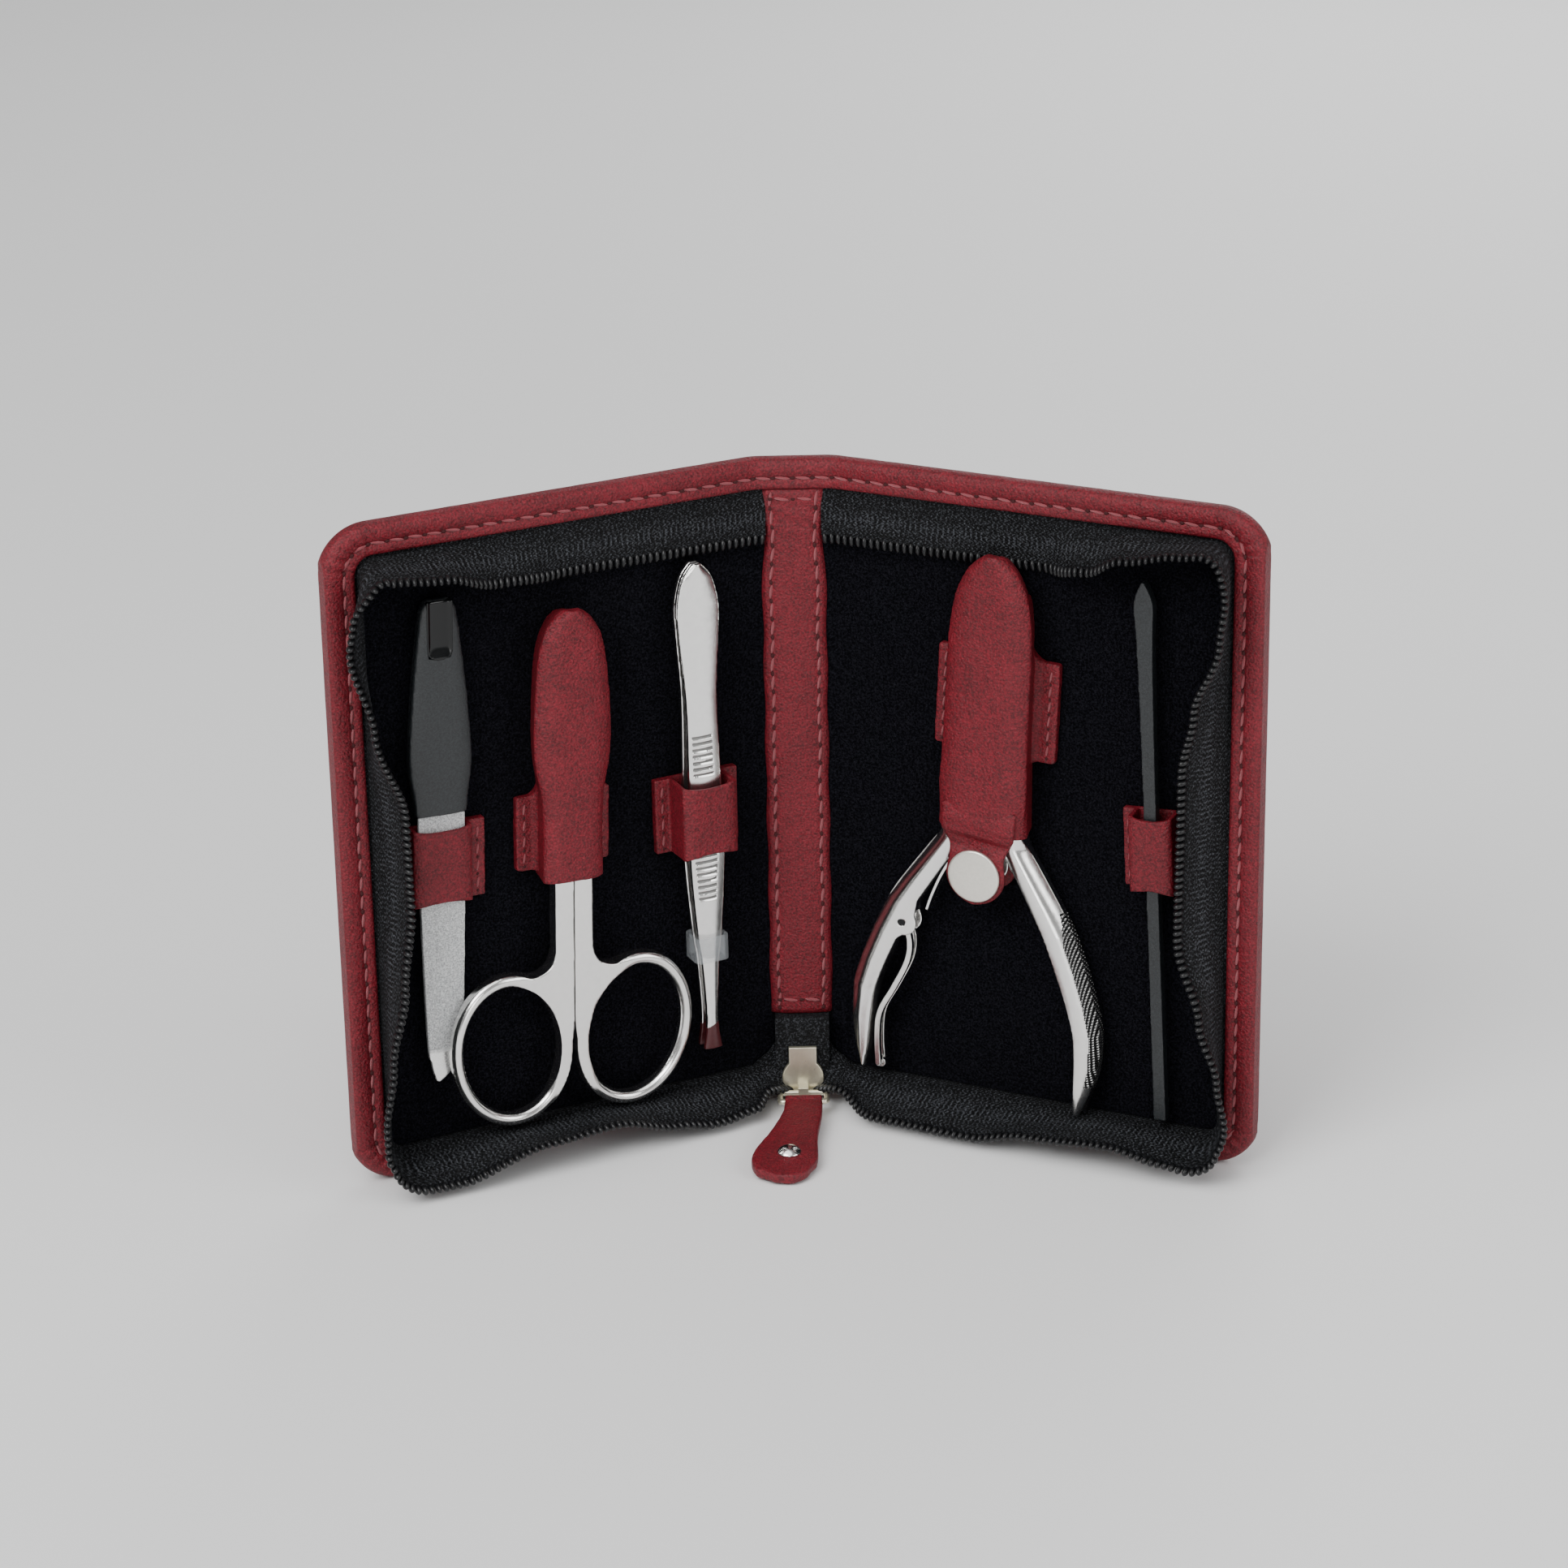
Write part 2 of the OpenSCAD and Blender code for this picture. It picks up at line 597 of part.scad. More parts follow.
// The shank runs down the split beside the ring, where the two are one piece of metal
module shank_shape() {
  edge = shank_w / 2;
  strip_shape([[edge, 0, shank_w], [edge, ring_at[1] + 17, shank_w], [edge, ring_at[1] + 9, shank_w],
    [edge + 0.1, ring_at[1] + 1, shank_w - 0.4], [edge + 0.6, ring_at[1] - 4, 1.2]]);
}

// Fills the corner between the shank and the top of the ring
module brace_shape() {
  x = shank_w;
  z = ring_at[1] + finger_l / 2 + finger_t;
  polygon(concat([[x - 1.5, z + 4.6]],
    smoothed([[x - 0.2, z + 4.6], [x + 0.05, z + 2.6], [x + 1, z + 0.2], [x + 3, z - 0.9],
      [x + 5, z - 1.1]], 3),
    [[x + 5, z - 2.6], [x + 1, z - 6], [x - 1.5, z - 8]]));
}

module blade_shape() {
  strip_shape([[-0.6, 0, 5.4], [-1.2, 7, 4.8], [-1.3, 0.5 * blade_l, 3.6], [-0.8, 0.8 * blade_l, 2.4],
    [-0.2, blade_l, 0.6]]);
}

// One half: full thickness below the hub, its own layer only at the hub and above
module scissor_half(other_low) {
  difference() {
    slab(scissors_low, scissors_low + scissors_t) {
      shank_shape();
      brace_shape();
      finger_ring(finger_t);
    }
    slab(scissors_low - 1, scissors_low + scissors_t + 1) {
      finger_ring(0);
      translate([split - 4 * hub_r, -shank_l]) square([4 * hub_r, 2 * shank_l]);
      circle(hub_r + soft_gap, $fn = round_fn);
    }
  }
  difference() {
    slab(scissors_low, scissors_low + scissors_t) {
      blade_shape();
      circle(hub_r, $fn = round_fn);
      intersection() {
        shank_shape();
        translate([split, -2 * hub_r]) square(2 * hub_r);
      }
    }
    slab(other_low, other_low + scissors_t) {
      translate([-2 * hub_r, -hub_r - soft_gap]) square([4 * hub_r, blade_l + 2 * hub_r]);
    }
    rod(screw_r + fit, scissors_low - 1, scissors_low + scissors_t + 1);
  }
}

module scissors_outer_half() {
  color(bright_steel) on_left() placed(scissors_place) difference() {
    scissor_half(scissors_low - layer_gap - layer_t);
    rod(screw_head_r + fit, scissors_low + scissors_t - screw_head_t - fit, scissors_low + scissors_t + 1);
  }
}

module scissors_inner_half() {
  color(bright_steel) on_left() placed(scissors_place) mirror([1, 0, 0]) scissor_half(scissors_low + layer_t);
}

screw_head_r = 2.2;
screw_head_t = 0.6;
module scissors_screw() {
  top = scissors_low + scissors_t;
  color(nickel) on_left() placed(scissors_place) difference() {
    union() {
      rod(screw_r, scissors_low, top - eps);
      rod(screw_head_r, top - screw_head_t, top);
    }
    slab(top - 0.25, top + 1) square([0.5, 2 * screw_head_r + 1], center = true);
  }
}

sheath_low = -11.5;
sheath_rows = [[0, sheath_low, 11.2], [0, -2, 11], [0, 4, 11.6], [0, 10, 13.8], [0, 16, 14.2], [0, 26, 13],
  [0, 32, 10.8], [0, 35.5, 6.6], [0, 37, 2.2]];
scissors_cavity = scissors_low + scissors_t + soft_gap;
module scissors_sheath() {
  color(leather_red) on_left() placed(scissors_place) {
    difference() {
      slab(0, scissors_cavity + leather_t) strip_shape(sheath_rows);
      slab(leather_t, scissors_cavity) strip_shape(hollow(sheath_rows));
    }
    for (side = [-1, 1])
      slab(0, 2 * leather_t) translate([side * 6.9 - 1.7, -10.5]) square([3.4, 13.5]);
  }
}

// Tweezers, drawn from the tips
arm_mid = tool_low + 1.6;
bow_t = 0.8;
bow_low = tweezers_l - 9.5;
weld_gap = bow_t / 2 + 0.02;
arm_line = [[0, tip_gap / 2], [10, tip_gap / 2 + 0.05], [25, tip_gap / 2 + 0.2], [45, tip_gap / 2 + 0.4],
  [60, tip_gap / 2 + 0.1], [bow_low - 1, weld_gap], [tweezers_l + 1, weld_gap]];
tweezer_rows = [[0, 0, 3.4], [0, 5.5, 2.1], [0, 16.5, 3.2], [0, 21, 4.3], [0, 36, tweezers_w - 1.2],
  [0, 50, tweezers_w - 1.6], [0, 65, tweezers_w - 1.9], [0, tweezers_l - 14, tweezers_w - 0.5],
  [0, tweezers_l - 7.5, tweezers_w], [0, tweezers_l - 2.5, 0.7 * tweezers_w],
  [0, tweezers_l, 0.2 * tweezers_w]];
module tweezer_arm(side) {
  inner = [for (p = arm_line) [arm_mid + side * p[1], p[0]]];
  outer = [for (p = arm_line) [arm_mid + side * (p[1] + arm_t), p[0]]];
  intersection() {
    profile(12) polygon(concat(inner, backwards(outer)));
    slab(-2, 12) strip_shape(tweezer_rows);
  }
}

module tweezers_front_arm() {
  color(bright_steel) on_left() placed(tweezers_place) tweezer_arm(1);
}

module tweezers_back_arm() {
  color(bright_steel) on_left() placed(tweezers_place) tweezer_arm(-1);
}

module tweezers_bow() {
  color(bright_steel) on_left() placed(tweezers_place)
    slab(arm_mid - bow_t / 2, arm_mid + bow_t / 2) intersection() {
      strip_shape(tweezer_rows);
      translate([-6, bow_low]) square([12, 20]);
    }
}

sleeve_low = 17;
sleeve_w = 6.3;
sleeve_wall = 0.55;
arm_reach = tip_gap / 2 + 0.25 + arm_t;
sleeve_half = arm_reach + 0.35 + sleeve_wall;
tweezers_cavity = arm_mid + sleeve_half + soft_gap;
module sleeve_shape(shrink) {
  offset_r = 1.2 - shrink;
  half_u = sleeve_w / 2 - shrink;
  half_w = sleeve_half - shrink;
  translate([-half_u + offset_r, -half_w]) square([2 * (half_u - offset_r), 2 * half_w]);
  translate([-half_u, -half_w + offset_r]) square([2 * half_u, 2 * (half_w - offset_r)]);
  for (a = [-1, 1], b = [-1, 1])
    translate([a * (half_u - offset_r), b * (half_w - offset_r)]) circle(offset_r, $fn = small_fn);
}

module tweezers_sleeve() {
  color([0.9, 0.92, 0.95, 0.5]) on_left() placed(tweezers_place)
    translate([0, -arm_mid, sleeve_low]) linear_extrude(sleeve_h) difference() {
      sleeve_shape(0);
      sleeve_shape(sleeve_wall);
    }
}

tweezers_tab_w = 2.7;
tweezers_loop_low = 37;
tweezers_loop_high = 50.5;
module tweezers_loop() {
  color(leather_red) on_left() placed(tweezers_place)
    strap_loop(tweezers_w + 1, tweezers_cavity, tweezers_tab_w, tweezers_loop_low, tweezers_loop_high);
}

// Nipper, drawn from its pin, with the handles below
nipper_low = 1.4;
nipper_mid = nipper_low + nipper_t / 2;
nipper_top = nipper_low + nipper_t;
half_gap = 0.03;
handle_k = handle_l / 61.3;
spread_k = handle_spread / 21.2;
handle_rows = [[2.6, -2, 4.4], [3.4, -7, 4.2], [5.8, -13.5, 4.2], [8.6, -18, 4.4],
  [12 * spread_k, -23.5, 4.8], [14.6 * spread_k, -28, 5], [17.2 * spread_k, -34, 5],
  [19.4 * spread_k, -40, 4.8], [20.9 * spread_k, -46 * handle_k, 4.6], [handle_spread, -52 * handle_k, 4],
  [20.7 * spread_k, -57.5 * handle_k, 2.6], [20.2 * spread_k, -handle_l, 0.8]];
module jaw_shape() {
  rotate(jaw_open)
    polygon([[-half_gap, 0], [-half_gap, jaw_l], [-1, jaw_l], [-4.2, 0.74 * jaw_l], [-lap_r, 13],
      [-lap_r + 0.2, 4], [-3, 0]]);
}

// One half: its own layer at the lap, its handle on one side and its jaw on the other
module nipper_half(cut_low, cut_high) {
  difference() {
    slab(nipper_low, nipper_top) {
      strip_shape(handle_rows, 5);
      jaw_shape();
      circle(lap_r, $fn = round_fn);
    }
    slab(cut_low, cut_high) circle(lap_r + 0.1, $fn = round_fn);
    rod(nipper_pin_r + fit, nipper_low - 1, nipper_top + 1);
  }
}

lug_at = [14, -31.6];
lug_r = 2.6;
lug_slot = 3.1;
lever_pin_r = 0.6;
lever_t = 1;
lever_rows = [[14, -31.6, lever_t], [12.6, -34.6, lever_t], [12.8, -38.8, lever_t], [15.2, -44.6, lever_t],
  [17.6, -49.8, lever_t], [17.9, -55, lever_t], [17.4, -60, lever_t]];
module nipper_inner_half() {
  color(bright_steel) on_right() placed(nipper_place) mirror([1, 0, 0]) difference() {
    union() {
      nipper_half(nipper_low - 1, nipper_mid + half_gap);
      slab(nipper_low, nipper_top) {
        translate(lug_at) circle(lug_r, $fn = small_fn);
        strip_shape([[11.6, -24, 2], [13.4, -28.5, 3.6], [14.6, -32, 4], [17.6, -35.6, 2]]);
      }
    }
    rod(lever_pin_r + fit / 2, nipper_low - 1, nipper_top + 1, lug_at[0], lug_at[1]);
    slab(nipper_mid - lug_slot / 2, nipper_mid + lug_slot / 2)
      polygon([[10.8, -29.6], [lug_at[0] + 1.7, -29.6], [lug_at[0] + 1.7, -33], [14.4, -40], [10.8, -40]]);
  }
}

module nipper_outer_half() {
  color(bright_steel) on_right() placed(nipper_place) nipper_half(nipper_mid - half_gap, nipper_top + 1);
}

module nipper_pin() {
  color(nickel) on_right() placed(nipper_place) {
    rod(nipper_pin_r, leather_t + eps, nipper_top + 0.3);
  }
}

module leaf_spring() {
  leaf_t = 0.5;
  color(bright_steel) on_right() placed(nipper_place) mirror([1, 0, 0])
    slab(nipper_mid - 1.5, nipper_mid + 1.5)
      strip_shape([[4.95, -17, leaf_t], [6.3, -19.4, leaf_t], [7.6, -22.2, leaf_t], [8.9, -25.8, leaf_t],
        [9.6, -28.3, leaf_t]]);
}

// Wire lever: two legs on an eye that turns on the lug's pin, with a roller at the far end
module wire_lever() {
  eye_r = 1.35;
  leg_gap = 0.05;
  low = nipper_mid - lug_slot / 2 + leg_gap;
  high = nipper_mid + lug_slot / 2 - leg_gap;
  color(nickel) on_right() placed(nipper_place) mirror([1, 0, 0]) {
    difference() {
      union() {
        rod(eye_r, low, high, lug_at[0], lug_at[1]);
        for (w = [low, high - lever_t]) slab(w, w + lever_t) strip_shape(lever_rows);
      }
      rod(lever_pin_r + fit, low - 1, high + 1, lug_at[0], lug_at[1]);
    }
    rod(roller_bore, low, high, lever_rows[6][0], lever_rows[6][1]);
  }
}

roller_bore = 0.4;
module lever_roller() {
  color(nickel) on_right() placed(nipper_place) mirror([1, 0, 0]) difference() {
    rod(0.9, nipper_mid - 0.4, nipper_mid + 0.4, lever_rows[6][0], lever_rows[6][1]);
    rod(roller_bore + fit / 2, nipper_low, nipper_top, lever_rows[6][0], lever_rows[6][1]);
  }
}

module lever_pin() {
  recess = 0.4;
  color(nickel) on_right() placed(nipper_place) mirror([1, 0, 0])
    rod(lever_pin_r, nipper_low + recess, nipper_top - recess, lug_at[0], lug_at[1]);
}

nipper_cavity = nipper_top + 0.7;
hood_low = -11.4;
hood_rows = [[0, hood_low, 17], [0, -5, 16.4], [0, 4, 15.6], [0, 14, 15.4], [0, 24, 15.2], [0, 31, 13.4],
  [0, 35.5, 9.6], [0, 38, 5], [0, 38.9, 1.6]];
hood_t = 0.9;
// The hood's tip is lifted over the zip that passes behind it
hood_lift = 2.2;
hood_lift_at = 32.5;
module nipper_sheath() {
  color(leather_red) on_right() placed(nipper_place) {
    difference() {
      slab(0, nipper_cavity + hood_t) strip_shape(hood_rows);
      slab(leather_t, nipper_cavity) strip_shape(hollow(hood_rows));
      slab(-1, hood_lift) translate([-lap_r * 2, hood_lift_at]) square([lap_r * 4, jaw_l]);
    }
    for (side = [-1, 1])
      slab(0, 2 * leather_t) translate([side * 9.15 - 1.95, 1.6]) square([3.9, 18.1]);
  }
}

// Snap: a stud on an under-strap, and a tongue with the socket and cap
snap_at = -18.8;
stud_r = 1.9;
socket_r = 3.6;
socket_t = 1.2;
tongue_low = nipper_cavity;
tongue_t = hood_t;
stud_top = tongue_low - socket_t + 0.3;
strap_r = 5;
tongue_root = 6.6;
module snap_strap() {
  color(leather_red) on_right() placed(nipper_place)
    slab(0, leather_t) {
      translate([-strap_r, snap_at]) square([2 * strap_r, hood_low - seat - snap_at]);
      translate([0, snap_at]) circle(strap_r, $fn = round_fn);
    }
}

module snap_stud() {
  color(nickel) on_right() placed(nipper_place) {
    rod(socket_r, leather_t, leather_t + 0.6, 0, snap_at);
    rod(stud_r - 0.3, leather_t + 0.6 - eps, stud_top - 1, 0, snap_at);
    rod(stud_r, stud_top - 1 - eps, stud_top, 0, snap_at);
  }
}

module snap_tongue() {
  color(leather_red) on_right() placed(nipper_place) difference() {
    slab(tongue_low, tongue_low + tongue_t) {
      polygon([[-tongue_root, hood_low - seat], [tongue_root, hood_low - seat], [snap_r + 0.6, snap_at],
        [-snap_r - 0.6, snap_at]]);
      translate([0, snap_at]) circle(snap_r + 1, $fn = round_fn);
    }
    rod(1 + fit / 2, tongue_low - 1, tongue_low + tongue_t + 1, 0, snap_at);
  }
}

module snap_socket() {
  color(nickel) on_right() placed(nipper_place) difference() {
    rod(socket_r, tongue_low - socket_t, tongue_low, 0, snap_at);
    rod(stud_r + 0.2, tongue_low - socket_t - 1, tongue_low - 0.4, 0, snap_at);
  }
}

module snap_cap() {
  rim_t = 0.5;
  dome_h = 0.5;
  top = tongue_low + tongue_t;
  color(nickel) on_right() placed(nipper_place) {
    rod(1, tongue_low, top + eps, 0, snap_at);
    translate([0, -top, snap_at]) rotate([90, 0, 0]) rotate_extrude($fn = round_fn)
      polygon([[0, 0], [snap_r, 0], [snap_r, rim_t], [0.85 * snap_r, rim_t + 0.5 * dome_h],
        [0.5 * snap_r, rim_t + 0.9 * dome_h], [0, rim_t + dome_h]]);
  }
}

// Cuticle stick, drawn from its lower end
stick_loop_w = 6.2;
stick_tab_w = 2;
stick_loop_low = 42;
stick_loop_high = 56;
module stick_loop() {
  color(leather_red) on_right() placed(stick_place)
    strap_loop(stick_loop_w, tool_low + stick_t + soft_gap, stick_tab_w, stick_loop_low, stick_loop_high,
      [-1]);
}

rod_l = 50;
neck_at = 21;
spade_foot = 9;
spade_tip = 3.6;
module cuticle_stick() {
  color(slate_grey) on_right() placed(stick_place)
    slab(tool_low, tool_low + stick_t)
      strip_shape([[0, 0, stick_w], [0, rod_l, stick_w], [0, stick_l - neck_at, stick_w + 0.3],
        [0, stick_l - spade_foot, spade_w - 0.4], [0, stick_l - spade_tip, spade_w], [0, stick_l, 0.5]]);
}

spine_leather();
spine_board();
spine_lining();
spine_strip();
left_fold();
right_fold();
zip_end_tape();
slider_body();
slider_bail();
pull_ring();
pull_tab();
pull_rivet();
left_leather();
left_board();
left_lining();
left_tape();
left_coil();
right_leather();
right_board();
right_lining();
right_tape();
right_coil();
file_loop();
file_handle();
file_blade();
scissors_sheath();
scissors_outer_half();
scissors_inner_half();
scissors_screw();
tweezers_loop();
tweezers_bow();
tweezers_front_arm();
tweezers_back_arm();
tweezers_sleeve();
nipper_sheath();
nipper_outer_half();
nipper_inner_half();
nipper_pin();
leaf_spring();
wire_lever();
lever_pin();
lever_roller();
snap_strap();
snap_stud();
snap_tongue();
snap_socket();
snap_cap();
stick_loop();
cuticle_stick();
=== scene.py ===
import bpy
import bmesh
import json
import numpy as np
from math import acos, atan2, cos, degrees, exp, pi, radians, sin, sqrt
from mathutils import Matrix


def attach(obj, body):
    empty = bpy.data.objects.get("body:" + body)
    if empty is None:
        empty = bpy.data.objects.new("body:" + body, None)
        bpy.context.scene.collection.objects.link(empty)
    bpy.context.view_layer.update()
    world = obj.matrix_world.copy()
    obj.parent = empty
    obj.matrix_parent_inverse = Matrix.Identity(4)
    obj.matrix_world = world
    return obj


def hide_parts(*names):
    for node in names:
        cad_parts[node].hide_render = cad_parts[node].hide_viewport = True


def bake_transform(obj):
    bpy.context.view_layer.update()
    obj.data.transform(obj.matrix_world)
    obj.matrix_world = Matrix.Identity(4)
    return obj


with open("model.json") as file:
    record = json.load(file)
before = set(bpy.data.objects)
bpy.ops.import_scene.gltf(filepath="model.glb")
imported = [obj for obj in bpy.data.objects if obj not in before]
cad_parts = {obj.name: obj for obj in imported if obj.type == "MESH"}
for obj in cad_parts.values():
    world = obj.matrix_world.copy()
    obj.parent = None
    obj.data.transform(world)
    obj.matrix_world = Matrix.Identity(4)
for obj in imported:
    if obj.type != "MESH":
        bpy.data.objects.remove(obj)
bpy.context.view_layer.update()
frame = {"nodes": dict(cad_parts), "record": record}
MM = 0.001

# The case stands on a pale table and is seen from in front and a little above, under soft
# studio light from overhead, both sides and behind.
LOOK_DOWN = radians(21.78)
LEAN = radians(-1.09)
LENS = 104.1
EYE = (-0.0024, -0.7308, 0.3508)
SKY_STRENGTH = 0.28
TABLE_HALF = 3000


def shown(name, data):
    """An object made of the data, in the scene."""
    made = bpy.data.objects.new(name, data)
    bpy.context.scene.collection.objects.link(made)
    return made


camera_data = bpy.data.cameras.new("camera")
camera_data.sensor_width = 36
camera_data.lens = LENS
camera_data.clip_start = 0.05
camera = shown("camera", camera_data)
camera.location = EYE
camera.rotation_euler = (Matrix.Rotation(pi / 2 - LOOK_DOWN, 3, "X")
                         @ Matrix.Rotation(LEAN, 3, "Z")).to_euler()
bpy.context.scene.camera = camera
for name, kind, place, size, power, aim in (
    ("sky_panel", "SUN", (-0.25, -0.45, 1.0), 1.05, 1.5, (0, 0, 0)),
    ("key", "AREA", (-0.45, -0.60, 0.70), 0.55, 6.5, (0, 0, 0.05)),
    ("fill", "AREA", (0.70, -0.45, 0.45), 0.50, 3.0, (0, 0, 0.05)),
    ("front", "AREA", (0.1, -1.3, 0.25), 0.40, 2.5, (0, 0, 0.06)),
    ("rear", "AREA", (0.35, 0.90, 0.45), 0.60, 3.0, (0, 0, 0.06)),
):
    light_data = bpy.data.lights.new(name, kind)
    light_data.energy = power
    if kind == "SUN":
        light_data.angle = size
    else:
        light_data.size = size
    light = shown(name, light_data)
    light.location = place
    direction = np.array(aim) - np.array(place)
    light.rotation_euler = (
        acos(-direction[2] / np.linalg.norm(direction)), 0,
        atan2(direction[1], direction[0]) - pi / 2)
world = bpy.data.worlds.new("studio")
world.use_nodes = True
sky = world.node_tree.nodes["Background"]
sky.inputs["Color"].default_value = (1, 1, 1, 1)
sky.inputs["Strength"].default_value = SKY_STRENGTH
bpy.context.scene.world = world


class Amount:
    """A number that varies over a surface, used in plain sums."""

    def __init__(self, finish, socket):
        self.finish, self.socket = finish, socket

    def sum(self, kind, first, second=0.0):
        made = self.finish.node("ShaderNodeMath", {"operation": kind}, {0: first, 1: second})
        return Amount(self.finish, made.outputs[0])

    def __add__(self, other): return self.sum("ADD", self, other)
    def __radd__(self, other): return self.sum("ADD", other, self)
    def __sub__(self, other): return self.sum("SUBTRACT", self, other)
    def __rsub__(self, other): return self.sum("SUBTRACT", other, self)
    def __mul__(self, other): return self.sum("MULTIPLY", self, other)
    def __pow__(self, other): return self.sum("POWER", self, other)
    def over(self, other): return self.sum("GREATER_THAN", self, other)
    def wave(self): return self.sum("SINE", self)
    def size(self): return self.sum("ABSOLUTE", self)
    def capped(self): return self.sum("MINIMUM", self.sum("MAXIMUM", self, 0.0), 1.0)


class Finish:
    """One surface finish, put together from its grain, colour and gloss."""

    def __init__(self, name, **steady):
        self.made = bpy.data.materials.new(name)
        self.made.use_nodes = True
        self.tree = self.made.node_tree
        self.skin = self.tree.nodes["Principled BSDF"]
        for socket, value in steady.items():
            self.skin.inputs[socket.replace("_", " ")].default_value = value

    def node(self, kind, settings=None, inputs=None):
        made = self.tree.nodes.new(kind)
        for key, value in (settings or {}).items():
            setattr(made, key, value)
        for key, value in (inputs or {}).items():
            if isinstance(value, Amount):
                value = value.socket
            if isinstance(value, bpy.types.NodeSocket):
                self.tree.links.new(value, made.inputs[key])
            else:
                made.inputs[key].default_value = value
        return made

    def place(self):
        return self.node("ShaderNodeTexCoord").outputs["Object"]

    def laid(self):
        return self.node("ShaderNodeUVMap", {"uv_map": "laid"}).outputs[0]

    def part(self, vector, axis):
        split = self.node("ShaderNodeSeparateXYZ", {}, {0: vector})
        return Amount(self, split.outputs[axis])

    def along(self, origin, direction):
        moved = self.node("ShaderNodeVectorMath", {"operation": "SUBTRACT"},
                          {0: self.place(), 1: origin})
        turned = self.node("ShaderNodeVectorMath", {"operation": "DOT_PRODUCT"},
                           {0: moved.outputs[0], 1: direction})
        return Amount(self, turned.outputs["Value"])

    def noise(self, scale, detail=3.0, rough=0.5):
        made = self.node("ShaderNodeTexNoise", {}, {
            "Vector": self.place(), "Scale": scale, "Detail": detail, "Roughness": rough})
        return Amount(self, made.outputs["Fac"])

    def cells(self, scale, feature="F1"):
        made = self.node("ShaderNodeTexVoronoi", {"feature": feature},
                         {"Vector": self.place(), "Scale": scale})
        return Amount(self, made.outputs["Distance"])

    def blend(self, share, first, second):
        made = self.node("ShaderNodeMix", {"data_type": "RGBA"},
                         {"Factor": share, 6: first, 7: second})
        return made.outputs[2]

    def colour(self, share, first, second):
        """Blends the surface between two colours, each given whole or as another blend."""
        ends = [c if isinstance(c, bpy.types.NodeSocket) else (*c, 1) for c in (first, second)]
        self.tree.links.new(self.blend(share, *ends), self.skin.inputs["Base Color"])

    def gloss(self, amount):
        self.tree.links.new(amount.socket, self.skin.inputs["Roughness"])

    def relief(self, height, depth, strength=1.0):
        bump = self.node("ShaderNodeBump", {},
                         {"Height": height, "Distance": depth, "Strength": strength})
        self.tree.links.new(bump.outputs[0], self.skin.inputs["Normal"])


def solid_piece(name, points, faces, finish, laid=None):
    """A piece from points in millimetres; laid gives each point its place on flat cloth."""
    mesh = bpy.data.meshes.new(name)
    mesh.from_pydata([tuple(p * MM for p in q) for q in points], [], faces)
    mesh.validate()
    mesh.shade_smooth()
    if laid is not None:
        layer = mesh.uv_layers.new(name="laid")
        for loop in mesh.loops:
            layer.data[loop.index].uv = laid[loop.vertex_index]
    mesh.materials.append(finish.made)
    return shown(name, mesh)


pale = Finish("pale_table", Roughness=0.6)
pale.colour(pale.noise(3), (0.84, 0.84, 0.84), (0.88, 0.88, 0.88))
corners = [(x * TABLE_HALF, y * TABLE_HALF, 0) for x, y in ((-1, -1), (1, -1), (1, 1), (-1, 1))]
solid_piece("table", corners, [(0, 1, 2, 3)], pale)

# The cover: one skin of crimson grained leather, turned over stiff boards at every edge and
# sewn down inside as a hem. It folds softly on each side of the spine.
SIDES = ((-1, "left"), (1, "right"))
CASE_H, COVER_W, SPINE_W, STAND = 118.0, 78.0, 13.0, radians(26)
CORNER_R, HEM_W, HEM_TOP, SKIN_BACK = 8.5, 5.2, 1.3, -2.5
FOLD_SPREAD, FOLD_STEP, FOLD_ENDS = 1.6, 0.1, (-1.8, 2.2)
CORNER_STEPS, SIDE_STEPS = 37, 44
PLEAT_FROM, PLEAT_TO, PLEAT_DEEP, PLEAT_RATE = 0.12, 1.45, 0.16, 21
BULGE_FROM, BULGE_OVER, BULGE = 74, 10, 0.55
leather = Finish("crimson_leather", Specular_IOR_Level=0.4)
pebble = leather.cells(2500, "SMOOTH_F1")
fine = leather.noise(6500, 4, 0.65)
worn = leather.noise(130, 3, 0.55)
crease = leather.noise(600, 5, 0.7)
speckle = leather.noise(2600, 2, 0.7)
# The grain's colour: pebble tops lighter and the gaps between pebbles darker, as painted highlight and
# painted shade; speckle, creases and wear vary the tone.
grain_tone_and_painted_shade = pebble * 0.4 + (speckle - 0.5) * 2.6 + crease * 0.7 + worn * 0.5 - 0.2
leather.colour(grain_tone_and_painted_shade.capped(), (0.215, 0.0062, 0.0165), (0.062, 0.0014, 0.0046))
leather.gloss(0.36 + fine * 0.16 + worn * 0.14)
leather.relief(1.0 - pebble + fine * 0.6 + speckle * 0.8 + crease * 1.6, 0.00016, 0.9)


def fold_line():
    """The plan of the skin from the spine's middle outwards: length, x, y and heading."""
    rows, x, y = [], 0.0, 0.0
    for k in range(int((SPINE_W / 2 + COVER_W) / FOLD_STEP) + 2):
        share = (k * FOLD_STEP - SPINE_W / 2 + FOLD_SPREAD) / (2 * FOLD_SPREAD)
        share = min(max(share, 0), 1)
        heading = STAND * share * share * (3 - 2 * share)
        rows.append((k * FOLD_STEP, x, y, heading))
        x += FOLD_STEP * cos(heading)
        y -= FOLD_STEP * sin(heading)
    return np.array(rows)


FOLD_LINE = fold_line()


def on_skin(side, length, w, v):
    """A point at a length round the skin from the spine's middle, its depth and height."""
    x, y, heading = (np.interp(length, FOLD_LINE[:, 0], FOLD_LINE[:, k]) for k in (1, 2, 3))
    return (side * (x - w * sin(heading)), y - w * cos(heading), v)


def on_cover(side, u, w, v):
    """A point on the flat of a cover: across it from the spine, its depth and height."""
    return (side * (SPINE_W / 2 + u * cos(STAND) - w * sin(STAND)),
            -u * sin(STAND) - w * cos(STAND), v)


